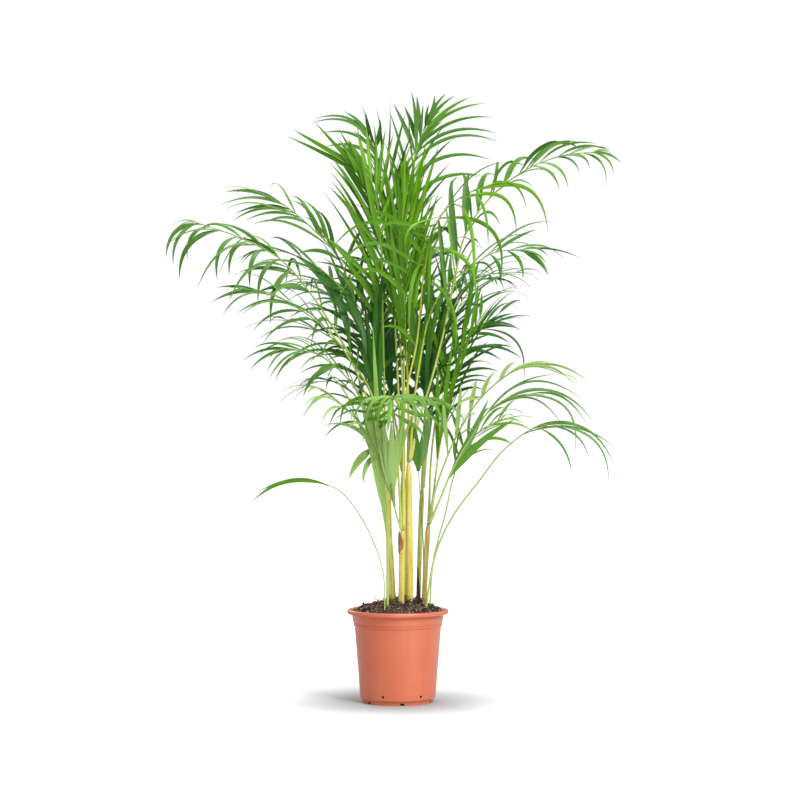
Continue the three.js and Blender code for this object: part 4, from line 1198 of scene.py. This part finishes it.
def soil():
    shape = Shape(("tone",))
    edge = BAND_TOP_RADIUS - WALL - 0.6
    turns = [2 * math.pi * j / SOIL_TURNS for j in range(SOIL_TURNS)]
    points, tones = [], []
    for i in range(SOIL_ROWS + 1):
        radius = edge * (i / SOIL_ROWS) ** 0.9
        for turn in turns:
            x, y = radius * math.cos(turn), radius * math.sin(turn)
            points.append((x, y, soil_height(x, y)))
            tones.append(0.35 + 0.3 * rough(x, y, 0.4, 2))
    radius, z = SOIL_UNDERSIDE
    points += [(radius * math.cos(turn), radius * math.sin(turn), z) for turn in turns]
    tones += [0.3] * SOIL_TURNS
    faces = [face[::-1] for face in ring_faces(SOIL_ROWS + 2, SOIL_TURNS)]
    shape.add(np.array(points), faces, tone=np.array(tones))
    rng = np.random.default_rng(SEED)
    for _ in range(CHIPS):
        chip(shape, rng)
    for _ in range(FIBRES):
        fibre(shape, rng, *scatter(rng, SOIL_REACH - 2))
    for spec in CANES.values():
        for _ in range(FIBRES_PER_CANE):
            turn, reach = rng.uniform(0, 2 * math.pi), rng.uniform(5, 14)
            fibre(shape, rng, spec["base"][0] + reach * math.cos(turn),
                  spec["base"][1] + reach * math.sin(turn), upright=0.6, stout=1.7)
    piece = shape.build("palm_soil", [soil_material()])
    place(piece, "soil")


def scatter(rng, reach=SOIL_REACH):
    radius = reach * math.sqrt(rng.random())
    turn = rng.uniform(0, 2 * math.pi)
    return radius * math.cos(turn), radius * math.sin(turn)


CHIP_CORNERS = np.array([(0.0, 0.0, 1.0), (0.9, 0.0, 0.35), (0.3, 0.85, 0.4),
                         (-0.75, 0.55, 0.3), (-0.7, -0.6, 0.4), (0.35, -0.8, 0.3),
                         (0.7, 0.4, -0.4), (-0.3, 0.8, -0.45), (-0.9, 0.0, -0.35),
                         (-0.25, -0.85, -0.4), (0.7, -0.5, -0.35), (0.0, 0.0, -1.0)])
CHIP_FACES = [[0, 1, 2], [0, 2, 3], [0, 3, 4], [0, 4, 5], [0, 5, 1], [1, 6, 2], [2, 6, 7],
              [2, 7, 3], [3, 7, 8], [3, 8, 4], [4, 8, 9], [4, 9, 5], [5, 9, 10],
              [5, 10, 1], [1, 10, 6], [6, 11, 7], [7, 11, 8], [8, 11, 9], [9, 11, 10],
              [10, 11, 6]]


def chip(shape, rng):
    """A crumb of bark, half sunk in the soil."""
    x, y = scatter(rng)
    size = rng.uniform(0.9, 3.0) * (1 + rng.random() ** 4)
    corners = CHIP_CORNERS * (size, size * rng.uniform(0.45, 1), size * rng.uniform(0.3, 0.7))
    corners = corners * rng.uniform(0.75, 1.25, corners.shape)
    tilt = Vector(rng.normal(0, 1, 3)).normalized()
    turn = rng.uniform(0, 2 * math.pi)
    corners = np.array([turned(c, np.array(tilt), math.degrees(turn)) for c in corners])
    corners += (x, y, soil_height(x, y) + size * 0.25)
    shape.add(corners, CHIP_FACES, tone=rng.beta(1.4, 2.4) * 1.1)


def fibre(shape, rng, x, y, upright=0.2, stout=1.0):
    """A bent hair of root or coir, lying on the soil or standing out of it."""
    heading = rng.uniform(0, 2 * math.pi)
    length = rng.uniform(8, 26)
    rise = rng.uniform(0.3, 0.9) if rng.random() < upright else rng.normal(0, 0.12)
    path = []
    for k in range(FIBRE_STEPS + 1):
        s = k / FIBRE_STEPS
        heading += rng.normal(0, 0.35)
        x += math.cos(heading) * length / FIBRE_STEPS
        y += math.sin(heading) * length / FIBRE_STEPS
        radius = math.hypot(x, y)
        if radius > SOIL_REACH:
            x, y = x * SOIL_REACH / radius, y * SOIL_REACH / radius
        path.append((x, y, soil_height(x, y) + 0.5 + max(rise, 0) * length * s * (1.6 - s)))
    thick = stout * rng.uniform(0.18, 0.42)
    points = tube(np.array(path), np.linspace(thick, thick * 0.4, len(path)), 5)
    shape.add(points, ring_faces(len(path), 5), tone=rng.uniform(0.1, 1.15 / stout ** 1.5))


# ---- canes -------------------------------------------------------------------------------------

CANE_RINGS = 90
CANE_SIDES = 28
CANE_FLARE = 0.7  # how much wider a cane is at the soil
FLARE_Z = 176.0  # height from which it narrows, and over which
FLARE_HIGH = 16.0
CROWN_SLIM = 0.38  # share of its radius that a cane loses at its top
CROWN_FROM = 0.9  # share of its length from which it does
SEAMS = 3  # edges of sheaths round a cane
SEAM_DEPTH = 0.05  # as a share of its radius


def cane_axis(spec, t):
    x, y = spec["base"]
    lean = (t + t * t) / 2
    foot = SOIL_CROWN - ROOT_DEPTH
    top = spec["top"]
    return vec(mix(x, top[0], lean), mix(y, top[1], lean), mix(foot, top[2], t))


def cane(name, spec, index):
    rng = np.random.default_rng(SEED + 100 + index)
    t = np.linspace(0, 1, CANE_RINGS)
    path = np.array([cane_axis(spec, x) for x in t])
    radii = mix(*spec["radius"], t)
    radii = radii + CANE_FLARE * (1 - smooth((path[:, 2] - FLARE_Z) / FLARE_HIGH))
    radii = radii * (1 - CROWN_SLIM * smooth((t - CROWN_FROM) / 0.1))
    seams = rng.uniform(0, 2 * math.pi, SEAMS)

    def squash(turn, share):
        """The edges of the sheaths that wrap the cane: low steps that wind up it."""
        out = 1.0
        for k, seam in enumerate(seams):
            away = (turn - seam - (1.5 + k) * share) % (2 * math.pi)
            out -= SEAM_DEPTH * math.exp(-away * 3.5)
        return out

    shape = Shape(("along", "tone"))
    shape.add(tube(path, radii, CANE_SIDES, squash), ring_faces(CANE_RINGS, CANE_SIDES),
              along=np.repeat(t, CANE_SIDES), tone=spec["green"])
    piece = shape.build(f"palm_{name}", [CANE])
    place(piece, name)


# ---- dead pieces ---------------------------------------------------------------------------------

SHEATH_HEIGHT = 0.62  # share of the cane's lean at which the dried sheath sits
SHEATH_RADII = (6.9, 6.3)  # outside and inside


def dried_sheath():
    """A torn brown sheath that still clasps the front cane, open towards the back."""
    spec = CANES["cane_front"]
    rng = np.random.default_rng(SEED + 200)
    columns, rows = 26, 24
    top_edge = 322 + 7 * rng.random(columns)
    bottom_edge = 276 + 9 * rng.random(columns)
    x, y = (mix(spec["base"][k], spec["top"][k], SHEATH_HEIGHT) - 0.3 for k in (0, 1))
    outer, inner = [], []
    for i in range(columns):
        share = i / (columns - 1)
        turn = math.radians(mix(172, 292, share))
        reach = (1 - abs(share - 0.4) * 1.5) ** 1.5
        for k in range(rows):
            s = k / (rows - 1)
            z = mix(mix(290, bottom_edge[i], reach), mix(303, top_edge[i], reach), s)
            puff = 0.5 * rough(turn * 8, z, 0.16, 3)
            for radius, store in zip(SHEATH_RADII, (outer, inner)):
                radius += puff
                store.append((x + radius * math.cos(turn), y + radius * math.sin(turn), z))
    faces = []
    size = columns * rows
    for i in range(columns - 1):
        for k in range(rows - 1):
            a, b = i * rows + k, (i + 1) * rows + k
            faces.append([a, b, b + 1, a + 1])
            faces.append([size + a, size + a + 1, size + b + 1, size + b])
    rim = list(range(rows)) + [i * rows + rows - 1 for i in range(1, columns)]
    rim += [(columns - 1) * rows + k for k in range(rows - 2, -1, -1)]
    rim += [i * rows for i in range(columns - 2, 0, -1)]
    for a, b in zip(rim, rim[1:] + rim[:1]):
        faces.append([a, b, size + b, size + a])
    shape = Shape(())
    shape.add(np.array(outer + inner), faces)
    piece = shape.build("palm_dried_sheath", [dry_material(
        "dry_sheath", srgb(112, 62, 36), srgb(186, 128, 76))])
    place(piece, "dried_sheath")


def dead_stub():
    """The dark foot of an old sheath, split and pointed at its top."""
    rings, sides = 40, 18
    t = np.linspace(0, 1, rings)
    path = np.array([(38 + 0.8 * math.sin(5 * x), -6 + 0.6 * math.cos(4 * x),
                      174 + 78 * x) for x in t])
    radii = mix(4.0, 0.9, t ** 1.15)

    def squash(turn, share):
        return 1 + 0.16 * noise.noise(Vector((math.cos(turn) * 1.6, math.sin(turn) * 1.6,
                                              share * 4)))
    shape = Shape(())
    shape.add(tube(path, radii, sides, squash), ring_faces(rings, sides))
    piece = shape.build("palm_dead_stub", [dry_material(
        "dead_sheath", srgb(34, 24, 20), srgb(92, 66, 48))])
    place(piece, "dead_stub")


def twig():
    """A bit of dead twig with a side shoot, one end in the soil."""
    shape = Shape(())
    stem = spline([(-14, -58, 168), (-27, -60, 186), (-35, -61.5, 193), (-44, -62, 200)], 10)
    shape.add(tube(stem, np.linspace(1.4, 0.6, len(stem)), 9), ring_faces(len(stem), 9))
    shoot = spline([(-29, -60.4, 188), (-33, -62, 188.5), (-38, -64, 189)], 8)
    shape.add(tube(shoot, np.linspace(0.7, 0.35, len(shoot)), 7), ring_faces(len(shoot), 7))
    piece = shape.build("palm_twig", [dry_material(
        "dead_wood", srgb(40, 30, 26), srgb(104, 82, 66))])
    place(piece, "twig")


# ---- stage ---------------------------------------------------------------------------------------

CAMERA_AT = (0.004, -4.2, 0.565)
LENS = 100.8
WORLD_LIGHT = 0.43
WORLD_SEEN = 1.02  # how bright the backdrop is to the camera
LAMPS_AIM = (0, 0, 0.55)
LAMPS = {  # place in metres, size in metres, power in watts
    "key": ((1.7, -2.4, 2.2), 1.1, 96),
    "fill": ((-2.6, -1.8, 1.4), 0.4, 6),
    "front": ((0.1, -4.7, 1.5), 0.5, 22),
    "top": ((0.1, 0.2, 3.3), 1.5, 82),
    "back": ((-1.4, 2.6, 1.9), 1.6, 26),
}
FLOOR_GREYS = ((0.5, 0.515, 0.52), (0.51, 0.525, 0.53))
# Painted glow of the floor, for the camera only: it fades out towards the pot, which paints the
# soft round edge of the shadow there.
FLOOR_GLOW = [(0.17, 0.0), (0.54, 0.5), (0.85, 1.0)]  # by twice the distance in metres


def backdrop():
    """White to the camera, and dimmer as a light on the plant."""
    world = bpy.data.worlds.new("studio")
    bpy.context.scene.world = world
    world.use_nodes = True
    nodes, links = world.node_tree.nodes, world.node_tree.links
    background = nodes["Background"]
    background.inputs["Color"].default_value = (1, 1, 1, 1)
    rays = nodes.new("ShaderNodeLightPath")
    strength = nodes.new("ShaderNodeMapRange")
    strength.inputs["To Min"].default_value = WORLD_LIGHT
    strength.inputs["To Max"].default_value = WORLD_SEEN
    links.new(rays.outputs["Is Camera Ray"], strength.inputs["Value"])
    links.new(strength.outputs["Result"], background.inputs["Strength"])


def floor():
    """Pale paper that glows for the camera as painted light, except near the pot: the glow fades
    out towards the pot and so paints the soft round edge of the pot's shadow, inside which the
    floor's own shading shows.
    """
    bpy.ops.mesh.primitive_plane_add(size=60)
    plane = bpy.context.object
    plane.name = "floor"
    n = Nodes("floor_paper")
    paper = n.ramp(n.noise(3.0), [(0.3, FLOOR_GREYS[0]), (0.7, FLOOR_GREYS[1])])
    n.set(Base_Color=paper, Roughness=0.9, Specular_IOR_Level=0.1)
    away = n.node("ShaderNodeVectorMath", 1, {"operation": "LENGTH"}, Vector=n.coords())
    # The painted glow: none near the pot, full far from it, so the round soft edge of the shadow is
    # painted.
    glow = n.ramp(n.times(away, 2.0), FLOOR_GLOW)
    glow.node.color_ramp.interpolation = "EASE"
    n.set(Emission_Color=glow, Emission_Strength=n.node("ShaderNodeLightPath", "Is Camera Ray"))
    plane.data.materials.append(n.material)


def stage():
    backdrop()
    floor()
    for name, (at, size, power) in LAMPS.items():
        area_light(name, at, size, power)
    camera = bpy.data.cameras.new("camera")
    camera.lens = LENS
    camera.sensor_width = 36
    camera.clip_end = 100
    holder = linked("camera", camera)
    holder.location = CAMERA_AT
    holder.rotation_euler = (math.radians(90), 0, 0)
    scene = bpy.context.scene
    scene.camera = holder
    scene.view_settings.view_transform = "Standard"
    scene.view_settings.look = "None"


def area_light(name, at, size, power):
    light = bpy.data.lights.new(name, "AREA")
    light.size = size
    light.energy = power
    holder = linked(name, light)
    holder.location = at
    aim = Vector(LAMPS_AIM) - Vector(at)
    holder.rotation_euler = aim.to_track_quat("-Z", "Y").to_euler()


stage()
pot()
soil()
for order, (cane_name, cane_spec) in enumerate(CANES.items()):
    cane(cane_name, cane_spec, order)
dried_sheath()
dead_stub()
twig()
for order, (frond_name, frond_spec) in enumerate(FRONDS.items()):
    frond(frond_name, USUAL_FROND | frond_spec, order)
